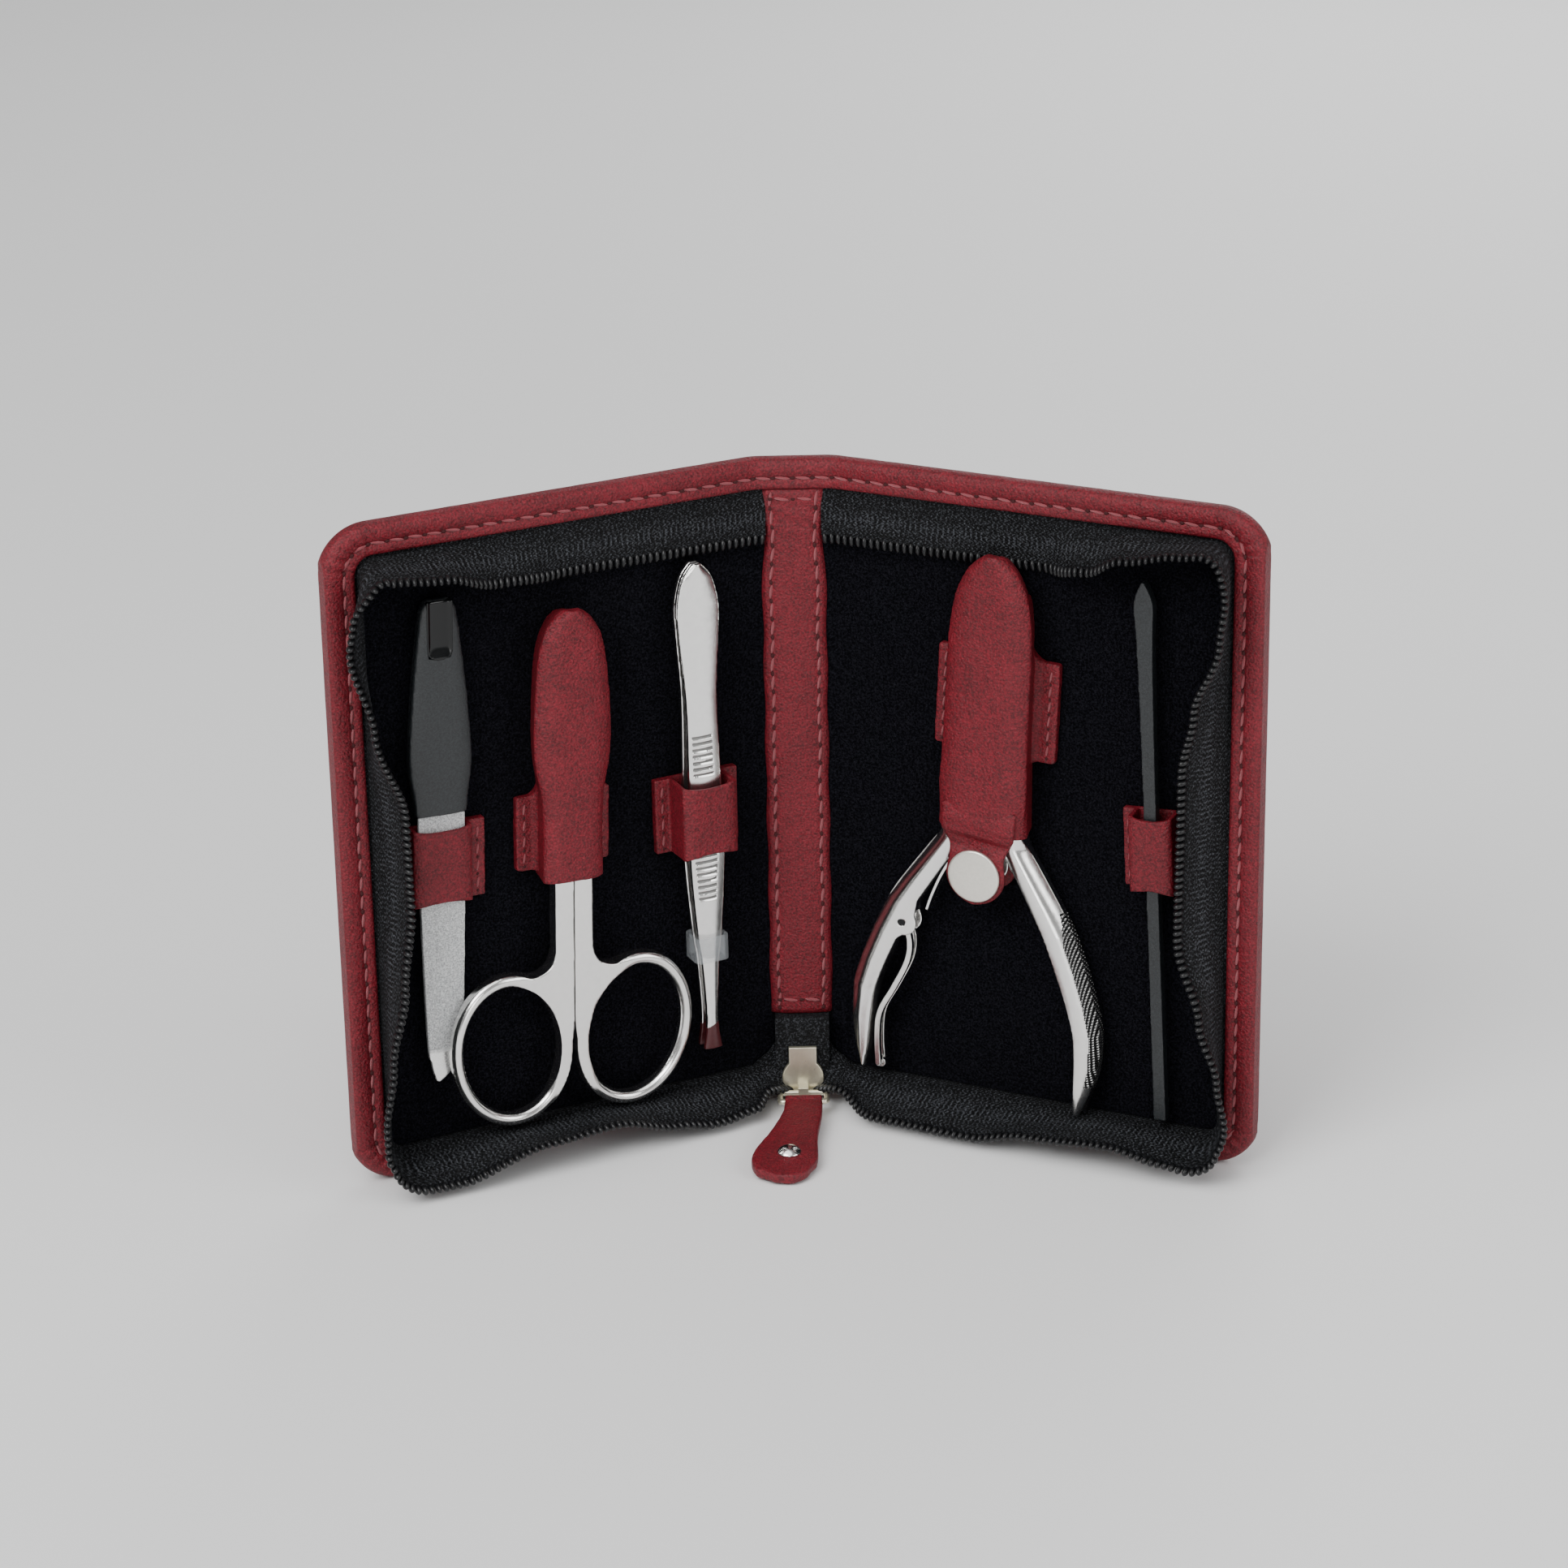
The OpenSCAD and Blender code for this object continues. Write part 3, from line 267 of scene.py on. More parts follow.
def fold_span(side):
    """Where the bend between the spine and a cover starts and ends, in metres."""
    return [tuple(MM * c for c in on_cover(side, u, 0, CASE_H / 2)) for u in FOLD_ENDS]


def outline(inset):
    """Stations round one half of the case at an inset from its edge, as length and height, and
    how many of them lie on each straight end."""
    reach = SPINE_W / 2 + COVER_W - CORNER_R
    lengths = np.concatenate([np.arange(0, SPINE_W / 2 - 2, 1.6),
                              np.linspace(SPINE_W / 2 - 2, SPINE_W / 2 + 2.4, 12),
                              np.linspace(SPINE_W / 2 + 4.5, reach, 28)])
    rows = [(a, CASE_H - CORNER_R, 90.0) for a in lengths]
    rows += [(reach, CASE_H - CORNER_R, h) for h in np.linspace(90, 0, CORNER_STEPS)[1:-1]]
    rows += [(reach, a, 0.0) for a in np.linspace(CASE_H - CORNER_R, CORNER_R, SIDE_STEPS)]
    rows += [(reach, CORNER_R, h) for h in np.linspace(0, -90, CORNER_STEPS)[1:-1]]
    rows += [(a, CORNER_R, -90.0) for a in lengths[::-1]]
    r = CORNER_R - inset
    return [(a + r * cos(radians(h)), b + r * sin(radians(h))) for a, b, h in rows], len(lengths)


# The hem's section from its cut edge over the seam's groove and round to the flat back, as
# inset and depth.
HEM_SEAM = 3.2
SKIN_SECTION = [
    (HEM_W + 0.05, 0.3), (HEM_W, 0.85), (5.0, 1.2), (4.6, HEM_TOP), (3.8, 1.28), (3.45, 1.1),
    (HEM_SEAM, 0.92), (2.95, 1.1), (2.6, HEM_TOP), (1.5, 1.32), (0.85, 1.2), (0.35, 0.9),
    (0.02, 0.4), (-0.1, -0.3), (-0.1, -1.1), (0.06, -1.75), (0.46, -2.25), (1.1, -2.48),
    (2.0, SKIN_BACK), (4.4, SKIN_BACK), (7.2, SKIN_BACK)]


def unevenness(a, w, v, inset):
    """How far the skin lies off its section: not quite even, and gathered in small pleats
    where the hem is turned round a corner."""
    wave = 0.05 * sin(a * 0.9 + v * 0.37) * sin(v * 0.21 + a * 0.13)
    turned = atan2(abs(v - CASE_H / 2) - CASE_H / 2 + CORNER_R,
                   a - SPINE_W / 2 - COVER_W + CORNER_R)
    if PLEAT_FROM < turned < PLEAT_TO and w > 0:
        wave += PLEAT_DEEP * sin(turned * PLEAT_RATE) * sin(pi * min(inset / 5, 1))
    return wave


def skin_half(side, name):
    """One half of the skin, whose turned edge stands out a little along the outer side."""
    points = []
    for inset, w in SKIN_SECTION:
        stations, straight = outline(inset)
        for a, v in stations:
            far = min(max((a - BULGE_FROM) / BULGE_OVER, 0), 1) * max(0.0, 1 - inset / 3)
            points.append(on_skin(side, a + BULGE * far, w + unevenness(a, w, v, inset), v))
    count = len(stations)
    faces = [(i * count + k, i * count + k + 1, (i + 1) * count + k + 1, (i + 1) * count + k)
             for i in range(len(SKIN_SECTION) - 1) for k in range(count - 1)]
    last = len(points) - count
    faces += [(last + k, last + k + 1, last + count - 2 - k, last + count - 1 - k)
              for k in range(straight - 1)]
    faces.append(tuple(range(last + straight - 1, last + count - straight + 1)))
    return solid_piece(name, points, [f[::side] for f in faces], leather)


for side, word in SIDES:
    skin = skin_half(side, word + "_skin")
    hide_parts(word + "_leather", word + "_fold", "spine_leather")
    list(fold_span(side))
    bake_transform(skin)

# Stitches: pale crimson thread in a lock stitch, sunk in a shallow groove round the hem and
# down both edges of the spine's strip.
TWIST = 42000
HEM_SEAM_TOP = 1.06
SLANT = 0.14
thread = Finish("thread", Roughness=0.55, Sheen_Weight=0.3)
thread.colour(thread.noise(9000, 2), (0.40, 0.040, 0.058), (0.22, 0.018, 0.028))
twist = thread.part(thread.place(), "Z") * TWIST + thread.part(thread.place(), "X") * TWIST
thread.relief(twist.wave(), 0.00004)
# Needle holes: small dark dots of painted shade where the thread goes into the leather.
needle_shade = Finish("needle_hole_shade_dot", Roughness=0.9)
needle_shade.colour(needle_shade.noise(4000, 2), (0.030, 0.0012, 0.0022), (0.045, 0.002, 0.0036))


def row_tree():
    """Lays one rounded unit at each point of a line, turned by the point's own turn."""
    tree = bpy.data.node_groups.new("row_of_units", "GeometryNodeTree")
    tree.is_modifier = True
    for name, way, kind in (("Points", "INPUT", "Geometry"), ("Length", "INPUT", "Float"),
                            ("Width", "INPUT", "Float"), ("Height", "INPUT", "Float"),
                            ("Surface", "INPUT", "Material"), ("Row", "OUTPUT", "Geometry")):
        tree.interface.new_socket(name, in_out=way, socket_type="NodeSocket" + kind)
    add = tree.nodes.new
    given, out = add("NodeGroupInput"), add("NodeGroupOutput")
    unit, lay = add("GeometryNodeMeshUVSphere"), add("GeometryNodeInstanceOnPoints")
    for key, value in (("Segments", 12), ("Rings", 8), ("Radius", 0.5)):
        unit.inputs[key].default_value = value
    turn = add("GeometryNodeInputNamedAttribute")
    turn.data_type = "FLOAT_VECTOR"
    turn.inputs["Name"].default_value = "turn"
    spin, size = add("FunctionNodeEulerToRotation"), add("ShaderNodeCombineXYZ")
    real, smooth, coat = (add("GeometryNodeRealizeInstances"), add("GeometryNodeSetShadeSmooth"),
                          add("GeometryNodeSetMaterial"))
    for giver, output, taker, socket in (
        (given, "Length", size, 0), (given, "Width", size, 1), (given, "Height", size, 2),
        (size, 0, lay, "Scale"), (turn, "Attribute", spin, 0), (spin, 0, lay, "Rotation"),
        (given, "Points", lay, "Points"), (unit, "Mesh", lay, "Instance"), (lay, 0, real, 0),
        (real, 0, smooth, "Geometry"), (smooth, 0, coat, "Geometry"),
        (given, "Surface", coat, "Material"), (coat, 0, out, 0),
    ):
        tree.links.new(giver.outputs[output], taker.inputs[socket])
    return tree


ROW_TREE = row_tree()


def made_plain(thing, name):
    """The thing with its modifiers taken in, as a plain mesh of its own."""
    bpy.context.view_layer.update()
    worked = thing.evaluated_get(bpy.context.evaluated_depsgraph_get())
    mesh = bpy.data.meshes.new_from_object(worked)
    bpy.data.objects.remove(thing)
    mesh.name = name
    return shown(name, mesh)


def turned_to(forward, upward):
    """The turn that points a unit's X along forward and its Z near upward."""
    x = np.array(forward, float)
    x /= np.linalg.norm(x)
    z = np.array(upward, float)
    z -= x * (z @ x)
    z /= np.linalg.norm(z)
    y = np.cross(z, x)
    return Matrix(np.stack([x, y, z], 1)).to_euler()


def row_of(name, places, turns, length, width, height, finish):
    """Units on given places, in millimetres, each with its own turn."""
    mesh = bpy.data.meshes.new(name)
    mesh.from_pydata([tuple(p * MM for p in q) for q in places], [], [])
    turn = mesh.attributes.new("turn", "FLOAT_VECTOR", "POINT")
    turn.data.foreach_set("vector", np.array([tuple(t) for t in turns], np.float32).ravel())
    points = shown(name + "_points", mesh)
    lay = points.modifiers.new("row", "NODES")
    lay.node_group = ROW_TREE
    sockets = {s.name: s.identifier for s in ROW_TREE.interface.items_tree if s.in_out == "INPUT"}
    for key, value in (("Length", length), ("Width", width), ("Height", height)):
        lay[sockets[key]] = value * MM
    lay[sockets["Surface"]] = finish.made
    return made_plain(points, name)


def run_along(line):
    """How far along a line each of its points lies."""
    gaps = np.linalg.norm(np.diff(line, axis=0), axis=1)
    return np.concatenate([[0], np.cumsum(gaps)])


def read_at(at, run, line):
    """The points that lie at given ways along a line."""
    return np.stack([np.interp(at, run, [p[k] for p in line]) for k in range(3)], 1)


def spaced(line, pitch, shift):
    """Places every pitch along a line of points, with the line's direction at each."""
    line = np.array(line, float)
    run = run_along(line)
    count = max(1, int(round(run[-1] / pitch)))
    at = (np.arange(count) + shift) * run[-1] / count
    return read_at(at, run, line), read_at(at + 0.2, run, line) - read_at(at - 0.2, run, line)


def stitched(name, line, facing, body=None, pitch=3.3, length=3.0, width=0.55):
    """A row of lock stitches along a line and dark dots of painted shade for the needle holes
    between them, each laid a little aslant as its thread pulls it; facing is the way that the
    sewn face looks."""
    made = []
    for part, shift, size, finish in (
        ("", 0.5, (length * 0.86, width, width * 0.8), thread),
        ("_holes", 0.0, (width * 1.5, width * 1.15, width * 0.72), needle_shade),
    ):
        places, ways = spaced(line, pitch, shift)
        across = [np.cross(w, facing) / np.linalg.norm(np.cross(w, facing)) for w in ways]
        turns = [turned_to(w / np.linalg.norm(w) + SLANT * a, facing)
                 for w, a in zip(ways, across)]
        made.append(row_of(name + part, places, turns, *size, finish))
        if body:
            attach(made[-1], body)
    return made


for side, word in SIDES:
    line = [on_skin(side, max(a, 0.02), HEM_SEAM_TOP, v) for a, v in outline(HEM_SEAM)[0]]
    for sewn in stitched(word + "_hem_stitches", line, (0, -1, 0)):
        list(fold_span(side))
        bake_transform(sewn)

# The lining: near-black velvet glued on the boards, with a short pile; the light that the pile
# catches is painted into its colour as fine lighter specks.
LINING_IN, LINING_GAP, LINING_R = 4.4, 1, 7.5
LINING_TOP, LINING_BACK = 0.04, -0.45
LINING_STEPS = (70, 36)
velvet = Finish("black_velvet", Roughness=1.0, Specular_IOR_Level=0.02, Sheen_Weight=0.02)
pile = velvet.noise(2700, 3, 0.75)
lint = velvet.cells(420).over(0.045)
# Painted glint: the specks of light that the pile catches are painted into the colour.
pile_glint = velvet.blend(((pile - 0.42) * 3.2).capped(), (0.0009, 0.0009, 0.0015, 1),
                   (0.0105, 0.0105, 0.0145, 1))
velvet.colour(lint, (0.012, 0.012, 0.018), pile_glint)
velvet.relief(pile, 0.00012, 0.8)


def closed_piece(name, points, faces, finish, laid=None):
    """A closed piece from points in millimetres, with every face turned outward."""
    made = solid_piece(name, points, faces, finish, laid)
    work = bmesh.new()
    work.from_mesh(made.data)
    bmesh.ops.recalc_face_normals(work, faces=work.faces)
    work.to_mesh(made.data)
    work.free()
    return made


def sheet_faces(rows, count):
    """Faces of a thin sheet, shut along every edge, whose points come in rows of so many:
    first those of its front, then those of its back."""
    block, faces = rows * count, []
    starts = range(0, block - count, count)
    for k in starts:
        for a in range(k, k + count - 1):
            faces.append((a, a + 1, a + count + 1, a + count))
            faces.append(tuple(block + b for b in faces[-1][::-1]))
    faces += [(a, a + count, block + a + count, block + a)
              for k in starts for a in (k, k + count - 1)]
    return faces + [(a + 1, a, block + a, block + a + 1)
                    for k in (0, block - count) for a in range(k, k + count - 1)]


def lining_sheet(side, name):
    """A thin sheet over half the spine and one cover, its outer corners rounded."""
    points = []
    m, n = LINING_STEPS
    reach, top = SPINE_W / 2 + COVER_W - LINING_GAP, CASE_H - LINING_GAP
    for depth in (LINING_TOP, LINING_BACK):
        for i in range(m + 1):
            u = LINING_IN + (reach - LINING_IN) * (1 - (1 - i / m) ** 1.4)
            into = max(0.0, u - (reach - LINING_R))
            cut = LINING_R - sqrt(max(LINING_R ** 2 - into ** 2, 0.0))
            for k in range(n + 1):
                v = LINING_GAP + cut + (top - LINING_GAP - 2 * cut) * k / n
                puff = 0.04 * sin(u * 0.5) * sin(v * 0.31) if depth > 0 else 0
                points.append(on_skin(side, u, depth + puff, v))
    return closed_piece(name, points, sheet_faces(m + 1, n + 1), velvet)


for side, word in SIDES:
    sheet = lining_sheet(side, word + "_velvet")
    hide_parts(word + "_lining", "spine_lining")
    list(fold_span(side))
    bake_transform(sheet)

# The boards: pressed grey card that stiffens both covers and the spine, hidden between
# leather and velvet.
card = Finish("pressed_card", Roughness=0.9)
card.colour(card.noise(900), (0.5, 0.47, 0.41), (0.38, 0.36, 0.31))
for node in ("left_board", "right_board", "spine_board"):
    surfaces = frame["nodes"][node].data.materials
    surfaces.clear()
    surfaces.append(card.made)

# The strip: leather over the closed gap between the covers, sewn down near both edges and
# drawn in at its head, where both zip tapes are tucked under it.
STRIP_LOW, STRIP_HIGH, STRIP_HALF = 15.6, 112.7, 5.45
STRIP_SEAM, STRIP_ROWS = 0.72, 110
STRIP_T, SWELL, PUCKER, GROOVE = 0.78, 0.3, 0.22, 0.2


def strip_half_width(v):
    """Half the strip's width at a height: less at its head, and not cut quite straight."""
    return STRIP_HALF - 0.55 * exp(-((v - 105) / 4.5) ** 2) - 0.12 * sin(v * 0.45)


def rows_joined(points, count):
    """Faces that join rows of so many points each into one closed form, both ends shut."""
    last = len(points) // count - 1
    faces = [(k * count + i, k * count + (i + 1) % count,
              (k + 1) * count + (i + 1) % count, (k + 1) * count + i)
             for k in range(last) for i in range(count)]
    return faces + [tuple(range(count))[::-1], tuple(last * count + i for i in range(count))]


def strip_piece():
    """A strip with a raised middle, a groove along each seam and puckers near its head."""
    half_across = [0.25, 0.5, 0.66, STRIP_SEAM, 0.78, 0.86, 0.94, 0.985, 1]
    across = [-a for a in half_across[::-1]] + [0] + half_across
    points = []
    for k in range(STRIP_ROWS + 1):
        v = STRIP_LOW + (STRIP_HIGH - STRIP_LOW) * k / STRIP_ROWS
        half = strip_half_width(v)
        pucker = PUCKER * exp(-((v - 107) / 6) ** 2)
        for a in across:
            edge = STRIP_T * (1 - abs(a) ** 10)
            groove = GROOVE * exp(-((abs(a) - STRIP_SEAM) / 0.06) ** 2)
            swell = (SWELL + pucker * sin(v * 2.1 + a * 3)) * (1 - a * a)
            points.append((a * half, -(0.12 + edge + swell - groove), v))
        points += [(a * half, -0.06, v) for a in across[::-1]]
    return closed_piece("spine_band", points, rows_joined(points, 2 * len(across)), leather)


band = strip_piece()
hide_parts("spine_strip")
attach(band, "spine")
for word, v in (("foot", STRIP_LOW + 2.6), ("head", STRIP_HIGH - 1.6)):
    reach = STRIP_SEAM * strip_half_width(v)
    line = [(-reach, -1.1, v), (0, -1.2, v), (reach, -1.1, v)]
    stitched("band_stitches_" + word, line, (0, -1, 0), "spine")
for side, word in SIDES:
    line = [(side * STRIP_SEAM * strip_half_width(v), -0.92, v)
            for v in np.linspace(STRIP_LOW + 1, STRIP_HIGH, 90)]
    stitched("band_stitches_" + word, line, (0, -1, 0), "spine")

# The zip: two woven polyester tapes sewn under the hem, each with a spun coil along its free
# edge. The tapes stand up off the lining in soft waves and meet at the slider.
TAPE_T, KNEE, ROOT_W, SAG, SAG_RATE = 0.5, 1.6, 0.25, 0.35, 0.19
COIL_W, COIL_T, COIL_TURN = 2.1, 1.5, (1.02, 1.35)
COIL_PITCH, COIL_LEAN, COIL_LOWEST = 1.22, 0.16, 1.15
MOUTH_IN, MOUTH_OUT, MOUTH_COIL = (4.6, -1.2, 10.5), (1.9, -2.9, 2.2), (1.5, -2.9, 1.75)
ROOT_R = CORNER_R - HEM_W - TAPE_T - 0.05
TAPE_START = 2.8
STRAIGHT_U = COVER_W - CORNER_R - TAPE_START
STRAIGHT_V = CASE_H - 2 * CORNER_R
ARC = ROOT_R * pi / 2
WAY = 2 * STRAIGHT_U + STRAIGHT_V + 2 * ARC
# Along each tape as a share of its way: how far it stands up, in degrees, and its width
TAPE_LAYS = {
    -1: [(0, 8, 8.2), (0.13, 6, 8.1), (0.185, 34, 8), (0.235, 70, 9), (0.274, 78, 9.2),
         (0.315, 122, 9.6), (0.335, 127, 9.8), (0.392, 104, 9.8), (0.457, 73, 9.5), (0.523, 72, 9.5),
         (0.584, 84, 9.6), (0.637, 103, 10), (0.686, 114, 10.8), (0.735, 112, 12.6), (0.817, 88, 12.6),
         (0.87, 86, 12.2), (0.92, 102, 12.2), (0.948, 110, 12.4), (0.98, 106, 11.6), (1, 108, 7.6)],
    1: [(0, 8, 8.2), (0.15, 5, 8.3), (0.185, 40, 8.5), (0.22, 74, 9.2), (0.26, 88, 9.6),
        (0.31, 106, 9.8), (0.34, 101, 9.8), (0.392, 74, 9.8), (0.437, 62, 10.2), (0.56, 61, 10.4),
        (0.617, 86, 10.2), (0.66, 107, 10.6), (0.695, 116, 11.2), (0.74, 101, 12.2), (0.78, 93, 12.2),
        (0.84, 97, 12.6), (0.895, 110, 13.2), (0.96, 112, 12.8), (1, 108, 7.6)],
}
weave = Finish("woven_tape", Specular_IOR_Level=0.2)
run, across_it = weave.part(weave.laid(), "X"), weave.part(weave.laid(), "Y")
by_hem = (1.0 - (across_it - 0.0058).size() * 520).capped()
ribs = ((run * 6283).wave() * 0.5 + 0.5) ** 2.2 * by_hem
knots = (run * 7400 + (across_it * 5200).wave() * 1.5).wave() * (across_it * 6900).wave()
fuzz = weave.noise(2300, 3, 0.8)
glints = weave.noise(3100, 2, 0.7)
height = ribs * 1.1 + knots * 0.6 + fuzz * 1.3
# The tape's colour is painted light: raised ribs and knots painted lighter as painted highlight, with
# scattered painted glints.
weave.colour(((height - 0.62) * 0.55 + (glints - 0.50) * 3.2).capped(),
             (0.0012, 0.0013, 0.0017), (0.074, 0.079, 0.090))
weave.gloss(0.55 + fuzz * 0.25)
weave.relief(height, 0.0003)
spun = Finish("coil", Roughness=0.36, Specular_IOR_Level=0.4)
spun.colour(spun.noise(1800), (0.0025, 0.0026, 0.003), (0.006, 0.0062, 0.0075))


def tape_lay(side, s):
    """How far a tape stands up and how wide it is, a way s along it."""
    rows = TAPE_LAYS[side]
    share = max(s, 0) / WAY
    i = max(k for k in range(len(rows) - 1) if rows[k][0] <= share + 1e-9)
    t = (share - rows[i][0]) / (rows[i + 1][0] - rows[i][0])
    t = t * t * (3 - 2 * t)
    tilt = rows[i][1] + (rows[i + 1][1] - rows[i][1]) * t
    return tilt, rows[i][2] + (rows[i + 1][2] - rows[i][2]) * t


def tape_stop(s):
    """The arc's centre and the heading of the tape's root, a way s along it; s is below
    nought where the tape is still tucked under the strip."""
    far, top = COVER_W - CORNER_R, CASE_H - CORNER_R
    if s < STRAIGHT_U:
        return TAPE_START + s, top, 90.0
    if s < STRAIGHT_U + ARC:
        return far, top, 90 - (s - STRAIGHT_U) / ARC * 90
    if s < STRAIGHT_U + ARC + STRAIGHT_V:
        return far, top - (s - STRAIGHT_U - ARC), 0.0
    if s < WAY - STRAIGHT_U:
        return far, CORNER_R, -(s - STRAIGHT_U - ARC - STRAIGHT_V) / ARC * 90
    return far - (s - WAY + STRAIGHT_U), CORNER_R, -90.0


def tape_line(side, s):
    """Points across the tape from its root to the coil, and the way its free edge looks."""
    u, v, heading = tape_stop(s)
    tilt, reach = tape_lay(side, s)
    if heading < 0:
        # The coil stays clear of the table under the lower edge
        clear_of = -(CORNER_R - ROOT_R - COIL_T) / (reach + COIL_W / 2)
        tilt = min(tilt, degrees(acos(clear_of)))
    up, lean = radians(min(tilt, 88)), radians(tilt)
    way = np.array([-cos(lean), sin(lean)])
    face = np.array([sin(lean), cos(lean)])
    root = np.array([0.0, ROOT_W])
    knee = np.array([-KNEE * cos(up), KNEE * sin(up)])
    rows = [np.array([2.2, ROOT_W]), root, knee * 0.5 + root, knee + root]
    length = reach - COIL_W / 2 - KNEE
    sag = SAG * sin(s * SAG_RATE) * min(1, tilt / 60)
    for t in np.linspace(0, 1, 7)[1:]:
        rows.append(knee + root + (length * t) * way + sag * sin(pi * t) * face)
    rows.append(rows[-1] + way * 0.5)
    c, d = cos(radians(heading)), sin(radians(heading))

    def put(p):
        r = ROOT_R + p[0]
        return np.array(on_skin(side, SPINE_W / 2 + u + r * c, p[1], v + r * d))
    centre = rows[-1] + way * (COIL_W / 2 - 0.5)
    return ([put(p) for p in rows], put(centre), put(centre + way) - put(centre),
            put(centre + face) - put(centre))


def zip_lines(side):
    """The lines across a tape, one after another along it, and how far along each lies."""
    ends = (-4.6, 0, STRAIGHT_U, STRAIGHT_U + ARC, STRAIGHT_U + ARC + STRAIGHT_V, WAY - STRAIGHT_U)
    counts = (12, 70, 16, 100, 16)
    runs = [s for a, b, n in zip(ends, ends[1:], counts) for s in np.linspace(a, b, n)[:-1]]
    runs += list(np.linspace(WAY - STRAIGHT_U, WAY - 0.01, 70))
    lines = [tape_line(side, s) for s in runs]
    # The last stretch turns off the cover and runs into the slider's mouth
    rows, centre, way, face = lines[-1]
    mouth_in, mouth_out, mouth_coil = (np.array((side * x, y, z))
                                       for x, y, z in (MOUTH_IN, MOUTH_OUT, MOUTH_COIL))
    mouth = [mouth_in * (1 - t) + mouth_out * t for t in np.linspace(0, 1, len(rows))]
    for step in (0.25, 0.5, 0.75, 1.0):
        t = step * step * (3 - 2 * step)
        coil_at = centre * (1 - t) + mouth_coil * t
        coil_at[2] = max(coil_at[2], COIL_LOWEST)
        lines.append(([a * (1 - t) + b * t for a, b in zip(rows, mouth)], coil_at,
                      way * (1 - t) + np.array((-side, 0, -0.6)) * t,
                      face * (1 - t) + np.array((0, -1, 0)) * t))
        runs.append(runs[-1] + 1.6)
    return lines, runs


def tape_piece(lines, runs, name):
    """The cloth of a tape: a thin sheet through its lines, shut along every edge."""
    n = len(lines[0][0])
    points, laid = [], []
    for half in (0.5, -0.5):
        for (rows, _, _, face), s in zip(lines, runs):
            rows = np.array(rows)
            ways = np.gradient(rows, axis=0)
            for i in range(n):
                tangent = ways[i] / np.linalg.norm(ways[i])
                side_on = np.cross(tangent, np.cross(face, tangent))
                side_on /= max(np.linalg.norm(side_on), 1e-9)
                points.append(rows[i] + side_on * half * TAPE_T * 0.8)
                laid.append((s * MM, i * MM * 0.95))
    return closed_piece(name, points, sheet_faces(len(lines), n), weave, laid)


def zip_side(side, word):
    """One tape with its row of coil turns, each turn a little aslant."""
    lines, runs = zip_lines(side)
    tape = tape_piece(lines, runs, word + "_woven_tape")
    centres, ways, faces = ([q[j] for q in lines] for j in (1, 2, 3))
    run = run_along(centres)
    count = int(run[-1] / COIL_PITCH)
    at = (np.arange(count) + 0.5) * run[-1] / count
    places = read_at(at, run, centres)
    turns = [turned_to(way + COIL_LEAN * f / np.linalg.norm(f), face)
             for way, face, f in zip(read_at(at, run, ways), read_at(at, run, faces),
                                     np.gradient(places, axis=0))]
    coil = row_of(word + "_coil_turns", places, turns, COIL_W, *COIL_TURN, spun)
    for made, slot in ((tape, "tape"), (coil, "coil")):
        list(fold_span(side))
        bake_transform(made)
    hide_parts(word + "_tape")
    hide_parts(word + "_coil")


for side, word in SIDES:
    zip_side(side, word)


# Softened pieces: cut leather, moulded plastic and ground steel all have eased edges, so each
# is worked over from its own solid.
def place_in(side, place):
    """Puts a point of a tool's own frame (across, depth, along) on its cover."""
    u0, v0, lean = place
    a = radians(lean)

    def put(p, w, q):
        return on_cover(side, u0 + p * cos(a) + q * sin(a), w,
                        v0 - p * sin(a) + q * cos(a))
    return put


def own_frame(side, place):
    """The other way round: arrays of points to a tool's own across, depth and along."""
    u0, v0, lean = place
    a = radians(lean)

    def find(points):
        x = side * points[:, 0] - SPINE_W / 2
        y = points[:, 1]
        u = x * cos(STAND) - y * sin(STAND)
        w = -x * sin(STAND) - y * cos(STAND)
        du, dv = u - u0, points[:, 2] - v0
        return du * cos(a) - dv * sin(a), w, du * sin(a) + dv * cos(a)
    return find


def eased(node, name, finish, grain, passes, shape=None, side=1, place=(0, 0, 0)):
    """A copy of a solid with its edges eased, and its form adjusted in its own frame."""
    mesh = frame["nodes"][node].data.copy()
    mesh.materials.clear()
    mesh.materials.append(finish.made)
    work = shown(name + "_work", mesh)
    remesh = work.modifiers.new("fine", "REMESH")
    remesh.mode = "VOXEL"
    remesh.voxel_size = grain * MM
    smooth = work.modifiers.new("ease", "SMOOTH")
    smooth.factor = 0.5
    smooth.iterations = passes
    made = made_plain(work, name)
    if shape:
        points = made.data.vertices
        co = np.empty(len(points) * 3)
        points.foreach_get("co", co)
        p, w, q = own_frame(side, place)(co.reshape(-1, 3) / MM)
        co = np.stack(place_in(side, place)(*shape(p, w, q)), 1) * MM
        points.foreach_set("co", co.ravel())
    made.data.shade_smooth()
    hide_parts(node)
    for body, nodes in frame["record"]["behaviour"]["bodies"].items():
        if node in nodes:
            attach(made, body)
    return made


def fading(x, start, end):
    """Nought at start, one at end, eased between."""
    t = np.clip((x - start) / (end - start), 0, 1)
    return t * t * (3 - 2 * t)


def width_at(q, rows):
    """Half the width of a long form at each length, from its own rows of length and width."""
    rows = sorted(rows)
    return np.maximum(np.interp(q, [r[0] for r in rows], [r[1] for r in rows]) / 2, 0.3)


def crowned(rows, low, fall, power=4):
    """A face above a depth that falls away towards both its long edges."""
    def shape(p, w, q):
        edge = np.minimum(np.abs(p) / width_at(q, rows), 1.1)
        return p, np.where(w > low, w - fall * edge ** power, w), q
    return shape


